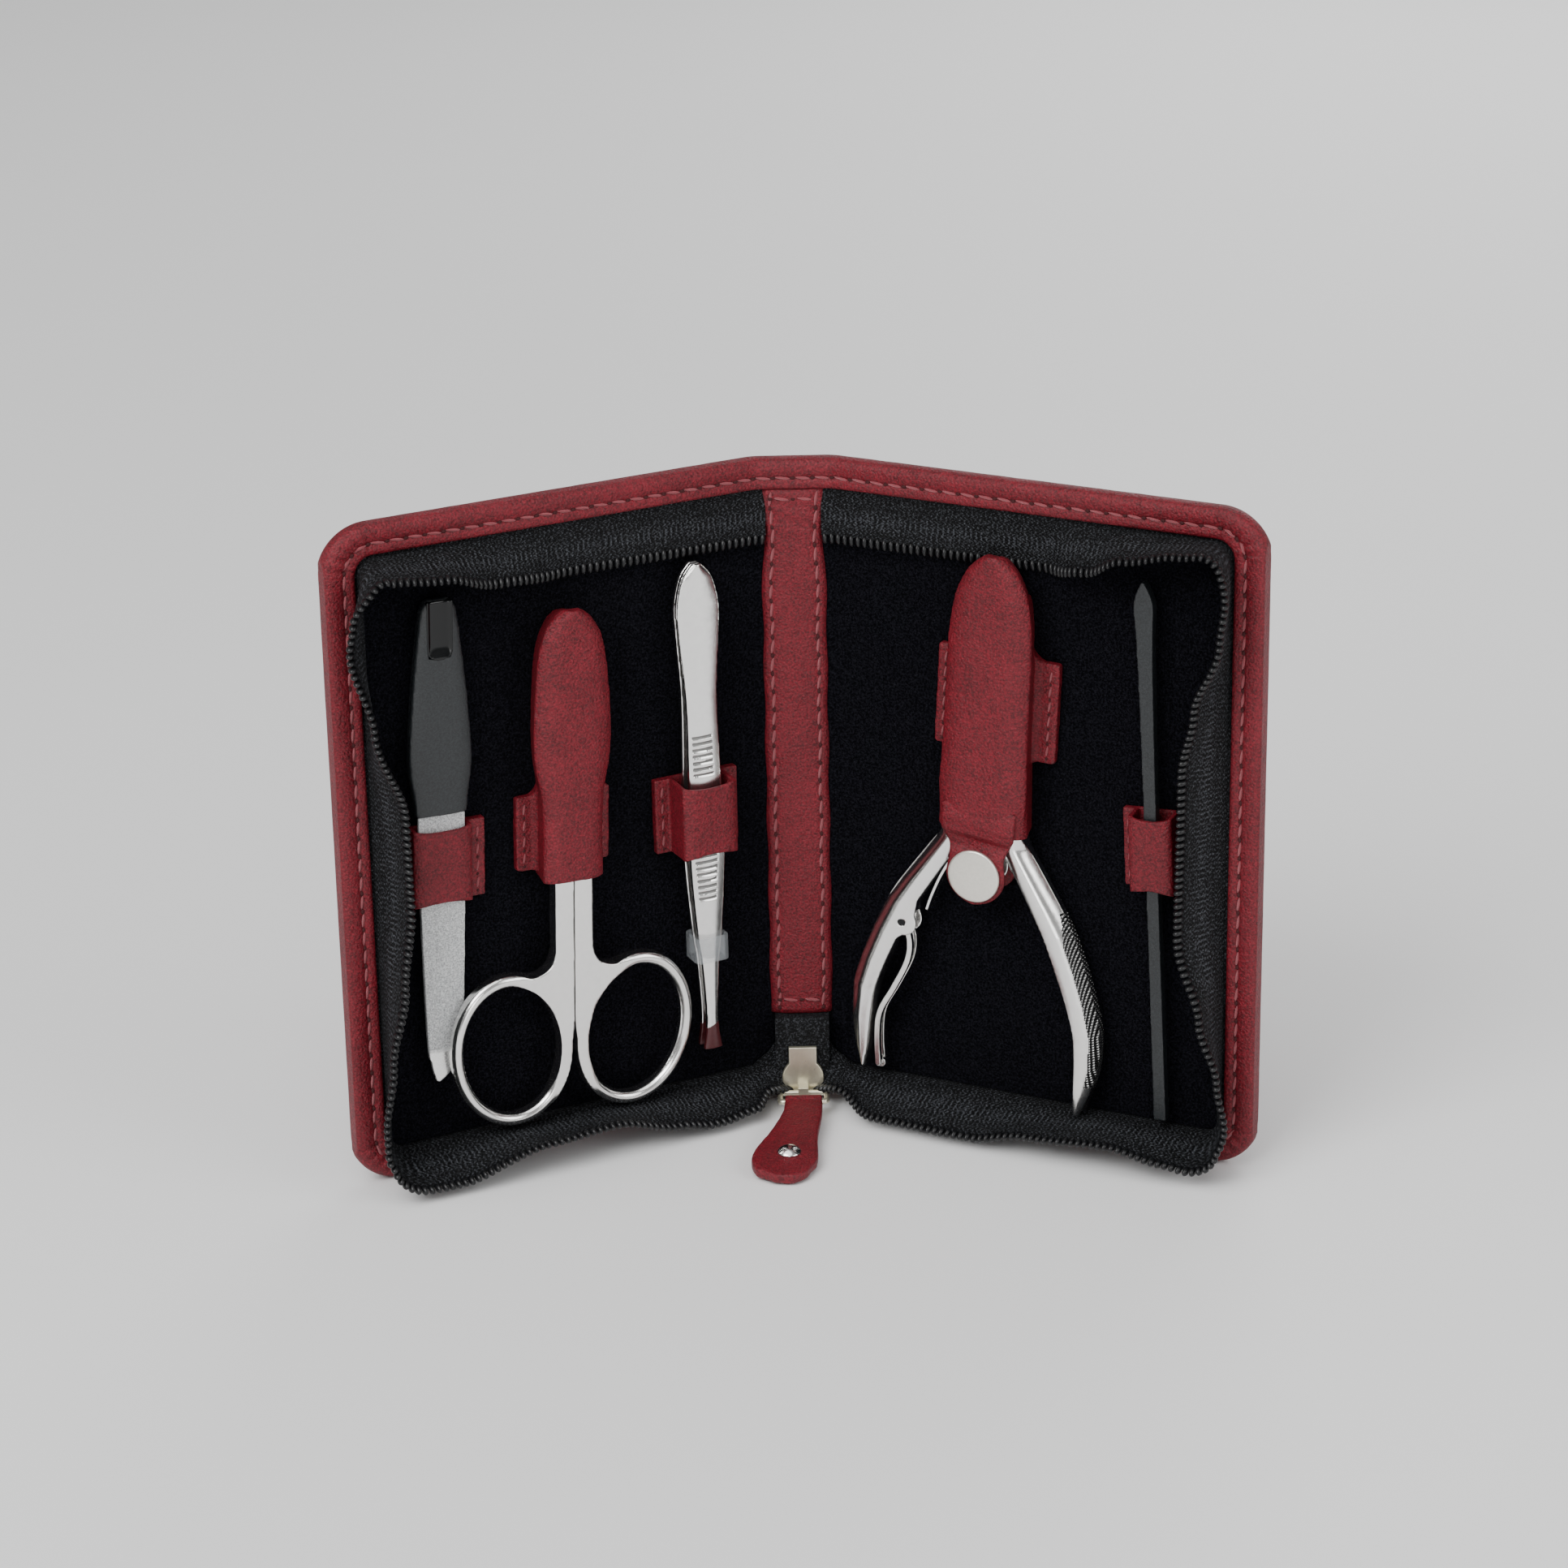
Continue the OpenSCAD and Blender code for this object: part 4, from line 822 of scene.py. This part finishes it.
def saddled(half, top, low, high):
    """A strap drawn over a tool: rounded over its corners, both its edges hollow."""
    def shape(p, w, q):
        edge, up = np.minimum(np.abs(p) / half, 1), fading(w, 1.7, top)
        middle = (low + high) / 2
        drawn = 1 - 0.10 * (1 - edge ** 2) * up
        return p, w - up * 0.8 * edge ** 5, middle + (q - middle) * drawn
    return shape


def faced_with(made, finish, chosen, side, place):
    """Gives the chosen faces of a piece another finish."""
    made.data.materials.append(finish.made)
    centres = np.array([tuple(f.center) for f in made.data.polygons]) / MM
    for k in np.flatnonzero(chosen(*own_frame(side, place)(centres))):
        made.data.polygons[int(k)].material_index = len(made.data.materials) - 1


# The zip's closed end: both tapes meshed together below the strip, seen from their woven
# side, with the coil behind.
eased("zip_end_tape", "closed_tape", weave, 0.2, 3)

# The slider: die-cast and nickel plated, slightly warm in colour, with a wire ring through
# its bail.
nickel = Finish("warm_nickel", Metallic=0.85)
wear = nickel.noise(700, 4, 0.6)
nickel.colour(wear, (0.80, 0.76, 0.60), (0.62, 0.58, 0.45))
nickel.gloss(0.22 + wear * 0.16)
nickel.relief(wear, 0.00003, 0.5)
bright = Finish("bright_plate", Metallic=1.0)
haze = bright.noise(1500, 4, 0.6)
bright.colour(haze, (0.86, 0.85, 0.83), (0.74, 0.73, 0.72))
bright.gloss(0.14 + haze * 0.12)
bright.relief(haze, 0.00002, 0.4)
eased("slider_body", "slider_plates", nickel, 0.12, 4)
eased("slider_bail", "slider_eye", nickel, 0.1, 4)
eased("pull_ring", "pull_wire", nickel, 0.1, 3)
eased("pull_tab", "leather_pull", leather, 0.18, 34)
eased("pull_rivet", "domed_rivet", bright, 0.09, 26)

# The nail file: a slate-grey moulded handle on a grit-coated steel blade with a bare curved
# tip, held by a leather loop.
FILE = (62.1, 17.4, -1.8)
BARE_TIP = 5.2 * MM
HANDLE_ROWS = [(48.8, 9), (52.3, 9.7), (58.5, 11.2), (69.8, 9.7), (81.6, 7.2), (85.2, 5.9),
               (86.6, 3.8)]
RECESS_LOW, RECESS_HIGH, RECESS_HALF = 76.3, 86.5, 2.25
RECESS_FACE, RECESS_BACK, RECESS_DEEP = 3.7, 3.05, 0.5
slate = Finish("slate_plastic", Roughness=0.42)
speck = slate.noise(3000, 3, 0.6)
slate.colour(((speck - 0.35) * 2.5).capped(), (0.0065, 0.008, 0.009), (0.021, 0.0245, 0.027))
slate.relief(speck, 0.00010, 0.7)
grit = Finish("grit_steel", Metallic=0.75)
grit_tone_and_painted_sparkle = ((grit.noise(3400, 3, 0.8) - 0.36) * 3.2).capped()
file_foot, file_next = (np.array(place_in(-1, FILE)(0, 2.5, q)) for q in (0, 1))
along_file = grit.along(tuple(file_foot * MM), tuple(file_next - file_foot))
bare = (1.0 - (along_file - BARE_TIP) * 900).capped()
# The coated part runs from pale to dark grey in fine grains: partly the grit's own tone, partly
# painted sparkle.
coated = grit.blend(grit_tone_and_painted_sparkle, (0.92, 0.93, 0.93, 1), (0.36, 0.37, 0.38, 1))
grit.colour(bare, coated, (0.88, 0.88, 0.87))
grit.gloss((0.50 - bare * 0.34 + grit_tone_and_painted_sparkle * 0.14).capped())
grit.relief(grit_tone_and_painted_sparkle * (1.0 - bare), 0.00012, 0.9)
eased("file_handle", "moulded_handle", slate, 0.2, 5,
      crowned(HANDLE_ROWS, 2.6, 0.55), -1, FILE)
eased("file_blade", "grit_blade", grit, 0.19, 2)
eased("file_loop", "file_band", leather, 0.22, 4,
      saddled(5.3, 4.1, 32.5, 46.5), -1, FILE)
# The hollow is coloured near-black, darker than the handle round it: painted shade.
gloss = Finish("glossy_recess_shade", Roughness=0.12, Specular_IOR_Level=0.35)
gloss.colour(gloss.noise(800), (0.0012, 0.0016, 0.0018), (0.0035, 0.004, 0.0045))


def recess():
    """The glossy hollow at the handle's top: a dish with a rounded lower end, in painted shade."""
    put, points = place_in(-1, FILE), []
    across = np.linspace(-1, 1, 15)
    for q in np.linspace(RECESS_LOW, RECESS_HIGH, 22):
        half = RECESS_HALF * sqrt(max(1 - max(0, (78 - q) / 1.75) ** 2, 0.02))
        for t in across:
            dip = RECESS_DEEP * (1 - t ** 4) * min(1, (q - RECESS_LOW) / 2.2)
            points.append(put(t * half, RECESS_FACE - dip, q))
        points += [put(t * half, RECESS_BACK, q) for t in across[::-1]]
    return closed_piece("handle_recess", points, rows_joined(points, 2 * len(across)), gloss)


dish = recess()
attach(dish, "nail_file")

# The scissors: hot-forged and polished steel with oval finger bows, in a leather sheath sewn
# down at both sides.
SCISSORS = (38.0, 62.5, -1.8)
RING_AT, RING_TILT, RING_HALF = (11.5, -41.4), radians(-7.8), (9.95, 13.05)
BOW_MID, BOW_MEAN_R, BOW_HALF_W, BRACE_AT = 4.8, 11.5, 1.05, (4.5, -30)
SHEATH_TOP = 7.4
SHEATH_ROWS = [(-11.5, 11.2), (-2, 11), (4, 11.6), (10, 13.8), (16, 14.2), (26, 13), (32, 10.8),
               (35.5, 6.6), (37, 2.2)]
polish = Finish("polished_steel", Metallic=1.0)
brush = polish.noise(900, 3, 0.6)
polish.colour(brush, (0.90, 0.89, 0.87), (0.80, 0.79, 0.78))
polish.gloss(0.16 + brush * 0.12)
polish.relief(brush, 0.00003, 0.5)


def round_bow(hand):
    """Forged bows: the oval's section is rounded to both faces, but not beside the brace."""
    def shape(p, w, q):
        x, y = hand * p - RING_AT[0], q - RING_AT[1]
        c, s = cos(RING_TILT), sin(RING_TILT)
        out = np.hypot((x * c + y * s) / RING_HALF[0], (y * c - x * s) / RING_HALF[1])
        t = np.minimum(np.abs(out - 1) * BOW_MEAN_R / BOW_HALF_W, 1)
        flat = 1 - np.sqrt(1 - 0.82 * t * t)
        from_brace = np.hypot(hand * p - BRACE_AT[0], q - BRACE_AT[1])
        thin = 1 - flat * fading(hand * p, 3.0, 5.2) * fading(from_brace, 3.5, 8.0)
        return p, BOW_MID + (w - BOW_MID) * thin, q
    return shape


for node, name, hand in (("scissors_outer_half", "scissors_front", 1),
                         ("scissors_inner_half", "scissors_rear", -1)):
    eased(node, name, polish, 0.18, 8, round_bow(hand), -1, SCISSORS)
eased("scissors_screw", "scissors_pivot", bright, 0.12, 2)


def moulded(rows, top, tabs, lean, crown, tip):
    """Leather moulded over a tool: walls that lean in towards the lining, a domed face and a
    tip that rolls under; the walls stay upright behind the stitched tabs."""
    def shape(p, w, q):
        low = 1 - np.clip(w / top, 0, 1)
        above = fading(q, tabs[0] - 1, tabs[0] + 0.5)
        behind = above * (1 - fading(q, tabs[1] - 0.5, tabs[1] + 2))
        held = np.maximum(behind * (1 - fading(w, 1.5, 2.8) * 0.6), (1 - above) * 0.35)
        edge = np.minimum(np.abs(p) / width_at(q, rows), 1.05)
        domed = np.where(w > 2, w - crown * edge ** 4 * (w - 2) / (top - 2), w)
        return (p * (1 - lean * low * (1 - held)), domed,
                q - tip * low * fading(q, 22, rows[-1][0] - 2))
    return shape


eased("scissors_sheath", "scissors_cover", leather, 0.26, 7,
      moulded(SHEATH_ROWS, SHEATH_TOP, (-10.5, 3), 0.27, 1.5, 1.9), -1, SCISSORS)

# The tweezers: two polished spring arms welded at the bow, ribbed for grip, with a clear
# plastic sleeve near the slanted tips.
TWEEZERS = (12.6, 13.4, 0.5)
ARM_ROWS = [(0, 3.4), (5.5, 2.1), (16.5, 3.2), (21, 4.3), (36, 6.4), (50, 6), (65, 5.7),
            (75.5, 7.1), (82, 7.6), (87, 5.3), (89.5, 1.5)]
RIBS = ((28.5, 41.6), (51.6, 58.8))
RIB_PITCH, RIB_AT, RIB_DEEP, ARM_FACE, LACQUER_TO = 1.15, 0.35, 0.22, 5.1, 4.6


def rib_groove(p, w, q):
    """Where the grip ribs' grooves are cut into the front arm's face."""
    within = (w > ARM_FACE) & (sum((q > a) & (q < b) for a, b in RIBS) > 0)
    return (within & (np.abs(p - RIB_AT) < width_at(q, ARM_ROWS) - 1.1)
            & (np.cos(q * 2 * pi / RIB_PITCH) > 0.25))


def ribbed(p, w, q):
    """The front arm: a crowned face with the grip ribs cut across it."""
    p, w, q = crowned(ARM_ROWS, 4.9, 0.4, 2)(p, w, q)
    return p, np.where(rib_groove(p, w, q), w - RIB_DEEP, w), q


front_arm = eased("tweezers_front_arm", "tweezers_front", polish, 0.14, 3,
                  ribbed, -1, TWEEZERS)
back_arm = eased("tweezers_back_arm", "tweezers_rear", polish, 0.17, 3)
shade = Finish("groove_shade", Metallic=1.0, Roughness=0.5)
shade.colour(shade.noise(2500), (0.30, 0.30, 0.29), (0.18, 0.18, 0.175))
lacquer = Finish("maroon_lacquer", Roughness=0.3)
lacquer.colour(lacquer.noise(1800), (0.07, 0.012, 0.014), (0.038, 0.006, 0.008))
faced_with(front_arm, shade, rib_groove, -1, TWEEZERS)
for arm in (front_arm, back_arm):
    faced_with(arm, lacquer, lambda p, w, q: q + 0.5 * p < LACQUER_TO, -1, TWEEZERS)
eased("tweezers_bow", "tweezers_weld", polish, 0.15, 2)
eased("tweezers_loop", "tweezers_band", leather, 0.22, 4,
      saddled(5.1, 7.85, 37, 50.5), -1, TWEEZERS)
clear = Finish("clear_sleeve", Roughness=0.08, Alpha=0.2, IOR=1.45)
clear.colour(clear.noise(600), (0.55, 0.58, 0.60), (0.36, 0.39, 0.41))
eased("tweezers_sleeve", "clear_cap", clear, 0.14, 2)

# The nipper: forged steel with a lap joint, a leaf spring and a wire lever, in a moulded
# leather hood with a press-stud tongue.
NIPPER = (30.5, 68.0, 3.0)
NIPPER_MID, NIPPER_HALF_T = 3.7, 2.3
# Along a handle: length, how far out its middle lies, width
GRIP = [(-60.6, 20.2, 0.8), (-56.8, 20.7, 2.6), (-51.4, 21.2, 4), (-45.5, 20.9, 4.6),
        (-40, 19.4, 4.8), (-34, 17.2, 5), (-28, 14.6, 5), (-23.5, 12, 4.8), (-18, 8.6, 4.4),
        (-13.5, 5.8, 4.2), (-7, 3.4, 4.2), (-2, 2.6, 4.4)]
KNURL_FOOT, KNURL_TOP, KNURL_RATE = -55, -24, 6500
HOOD_TOP, HOOD_FOOT = 7.6, -11.4
HOOD_ROWS = [(-11.4, 17), (-5, 16.4), (4, 15.6), (14, 15.4), (24, 15.2), (31, 13.4), (35.5, 9.6),
             (38, 5), (38.9, 1.6)]


def grip_share(p, q, hand):
    """How far across a handle a point lies: -1 at its inner edge, 1 at its outer edge."""
    q_rows, centres, widths = zip(*GRIP)
    return (hand * p - np.interp(q, q_rows, centres)) / (np.interp(q, q_rows, widths) / 2 * 1.12)


def forged_grip(hand):
    """Forged handles: a bright ridge near the inner edge, the outer side sloping back."""
    def shape(p, w, q):
        t, front = np.clip(grip_share(p, q, hand), -1.1, 1.1), (w - NIPPER_MID) / NIPPER_HALF_T
        fall = 0.55 * t * t + 1.5 * np.maximum(t + 0.1, 0) ** 1.6
        round_off = np.where(front > 0, fall, 0.7 * t * t)
        along = fading(-q, 8, 15) * (1 - 0.5 * fading(-q, 50, 58))
        return p, w - np.clip(front, -1, 1) * round_off * along, q
    return shape


def knurled(p, w, q):
    """The checkered outer side of the right handle."""
    inner_edge = 0.32 + 0.5 * fading(q, KNURL_TOP - 6, KNURL_TOP)
    return (grip_share(p, q, 1) > inner_edge) & (q < KNURL_TOP) & (q > KNURL_FOOT)


knurl = Finish("knurled_steel", Metallic=1.0, Roughness=0.34)
slant = knurl.part(knurl.place(), "Z")
sideways = knurl.part(knurl.place(), "X") - knurl.part(knurl.place(), "Y")
checks = ((slant + sideways) * KNURL_RATE).wave() * ((slant - sideways) * KNURL_RATE).wave()
# The checks are painted dark in their grooves and light on their ridges: painted shade and painted
# highlight.
knurl.colour((checks * 0.8 + 0.5).capped(), (0.10, 0.10, 0.10), (0.58, 0.58, 0.57))
knurl.relief(checks, 0.0003)
right_half = eased("nipper_outer_half", "nipper_right", polish, 0.22, 6,
                   forged_grip(1), 1, NIPPER)
faced_with(right_half, knurl, knurled, 1, NIPPER)
eased("nipper_inner_half", "nipper_left", polish, 0.22, 6, forged_grip(-1), 1, NIPPER)
# The lever pin is coloured near-black: painted shade for the shadowed hole round it.
sunk = Finish("pin_painted_shade", Metallic=0.8, Roughness=0.5)
sunk.colour(sunk.noise(2000), (0.030, 0.030, 0.031), (0.014, 0.014, 0.015))
eased("leaf_spring", "spring_leaf", polish, 0.1, 2)
eased("nipper_pin", "nipper_rivet", bright, 0.15, 2)
eased("wire_lever", "lever_wire", bright, 0.11, 4)
eased("lever_pin", "lever_rivet", sunk, 0.1, 1)
eased("lever_roller", "lever_wheel", bright, 0.08, 1)


def hooded(p, w, q):
    """Leather moulded over the jaws, its face drawn in towards the tongue."""
    p, w, q = moulded(HOOD_ROWS, HOOD_TOP, (1.6, 19.7), 0.26, 1.6, 2.2)(p, w, q)
    drawn = fading(-q, 2, -HOOD_FOOT) * fading(w, 4.5, 6.5)
    return p * (1 - 0.13 * drawn), w - 0.12 * drawn, q


eased("nipper_sheath", "nipper_hood", leather, 0.28, 7, hooded, 1, NIPPER)
eased("snap_strap", "stud_strap", leather, 0.2, 3)
SNAP_AT, TIP_R = -18.8, 5.35
TONGUE_ROOT, TONGUE_BEND, DIP_AT, DIP = -6.5, (-10.4, -13), -13.4, 0.85
TONGUE_ROWS = [(-18.8, TIP_R), (-17.4, 5.15), (-16, 4.9), (-14.6, 5.05), (-13, 5.8), (-11.4, 6.6),
               (-9, 6.8), (-6.5, 6.7)]


def tongue_piece():
    """The tongue: it grows out of the hood's face, narrows, dips and ends round the stud."""
    put, points = place_in(1, NIPPER), []
    rows = list(np.linspace(TONGUE_ROOT, SNAP_AT, 34))
    rows += [SNAP_AT - TIP_R * sin(a) for a in np.linspace(0, 1.5, 14)[1:]]
    across = np.linspace(-1, 1, 25)
    for q in rows:
        half = np.interp(q, *zip(*TONGUE_ROWS))
        if q < SNAP_AT:
            half = sqrt(max(TIP_R ** 2 - (q - SNAP_AT) ** 2, 0.09))
        dip = DIP * exp(-((q - DIP_AT) / 1.6) ** 2)
        face = HOOD_TOP + np.interp(-q, [6.5, 8.5, 30], [-0.35, 0.02, 0.0]) - dip
        back = 6.72 - 0.7 * dip if q < HOOD_FOOT else 7.0
        for t in across:
            crease = 0.15 * sin(q * 3.1 + t * 2.2) * exp(-((q + 12.5) / 2.4) ** 2)
            depth = face + crease - 0.34 * abs(t) ** 6 - 0.5 * dip * (1 - t * t)
            points.append(put(t * half, depth, q))
        points += [put(t * half, back, q) for t in across[::-1]]
    return closed_piece("tongue", points, rows_joined(points, 2 * len(across)), leather)


tongue = tongue_piece()
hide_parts("snap_tongue")
hinge = [tuple(MM * c for c in place_in(1, NIPPER)(0, 7.1, q)) for q in TONGUE_BEND]
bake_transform(tongue)
eased("snap_stud", "stud", bright, 0.15, 1)
eased("snap_socket", "socket", bright, 0.15, 1)
# The press cap's half section, as radius and depth
CAP_SECTION = [(0.9, 6.75), (0.95, 7.58), (4.55, 7.6), (4.7, 7.75), (4.7, 8.08), (4.62, 8.2),
               (4.45, 8.28), (4.2, 8.32), (3.2, 8.40), (2.2, 8.45), (1.0, 8.48), (0.02, 8.48)]
CAP_STEPS = 72
satin = Finish("satin_nickel", Metallic=0.85)
mist = satin.noise(1900, 3, 0.6)
satin.colour(mist, (0.86, 0.83, 0.76), (0.72, 0.69, 0.62))
satin.gloss(0.34 + mist * 0.14)


def cap_piece():
    """The cap, turned about the axis of the stud."""
    put, turns = place_in(1, NIPPER), [2 * pi * k / CAP_STEPS for k in range(CAP_STEPS)]
    points = [put(r * cos(a), depth, SNAP_AT + r * sin(a))
              for r, depth in CAP_SECTION for a in turns]
    return closed_piece("press_cap", points, rows_joined(points, CAP_STEPS), satin)


cap = cap_piece()
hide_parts("snap_cap")
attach(cap, "snap_tongue")

# The cuticle stick: one slate-grey moulded rod with a spade end at its head, held by a narrow
# leather loop of its own.
STICK = (62.5, 7.8, -2.6)
eased("cuticle_stick", "moulded_stick", slate, 0.175, 4)
eased("stick_loop", "stick_band", leather, 0.22, 4,
      saddled(3.9, 5.3, 42, 56), 1, STICK)

# Tab stitches: short rows of the same thread that hold each loop and sheath down on the
# lining.
TAB_TOP = 1.62
for name, side, place, p, low, high in (
    ("file_tab", -1, FILE, -6.9, 33.4, 45.6),
    ("scissors_tab_a", -1, SCISSORS, -7.2, -9.6, 2.2),
    ("scissors_tab_b", -1, SCISSORS, 7.2, -9.6, 2.2),
    ("tweezers_tab_a", -1, TWEEZERS, -6.5, 37.8, 49.7),
    ("tweezers_tab_b", -1, TWEEZERS, 6.5, 37.8, 49.7),
    ("nipper_tab_a", 1, NIPPER, -9.6, 2.6, 18.7),
    ("nipper_tab_b", 1, NIPPER, 9.6, 2.6, 18.7),
    ("stick_tab", 1, STICK, -4.9, 42.9, 55.1),
):
    put = place_in(side, place)
    line = [put(p, TAB_TOP, q) for q in np.linspace(low, high, 12)]
    facing = np.array(put(p, TAB_TOP + 1, low)) - np.array(line[0])
    stitched(name + "_stitches", line, facing, "left_cover" if side < 0 else "right_cover",
             pitch=2.9, length=2.2, width=0.4)
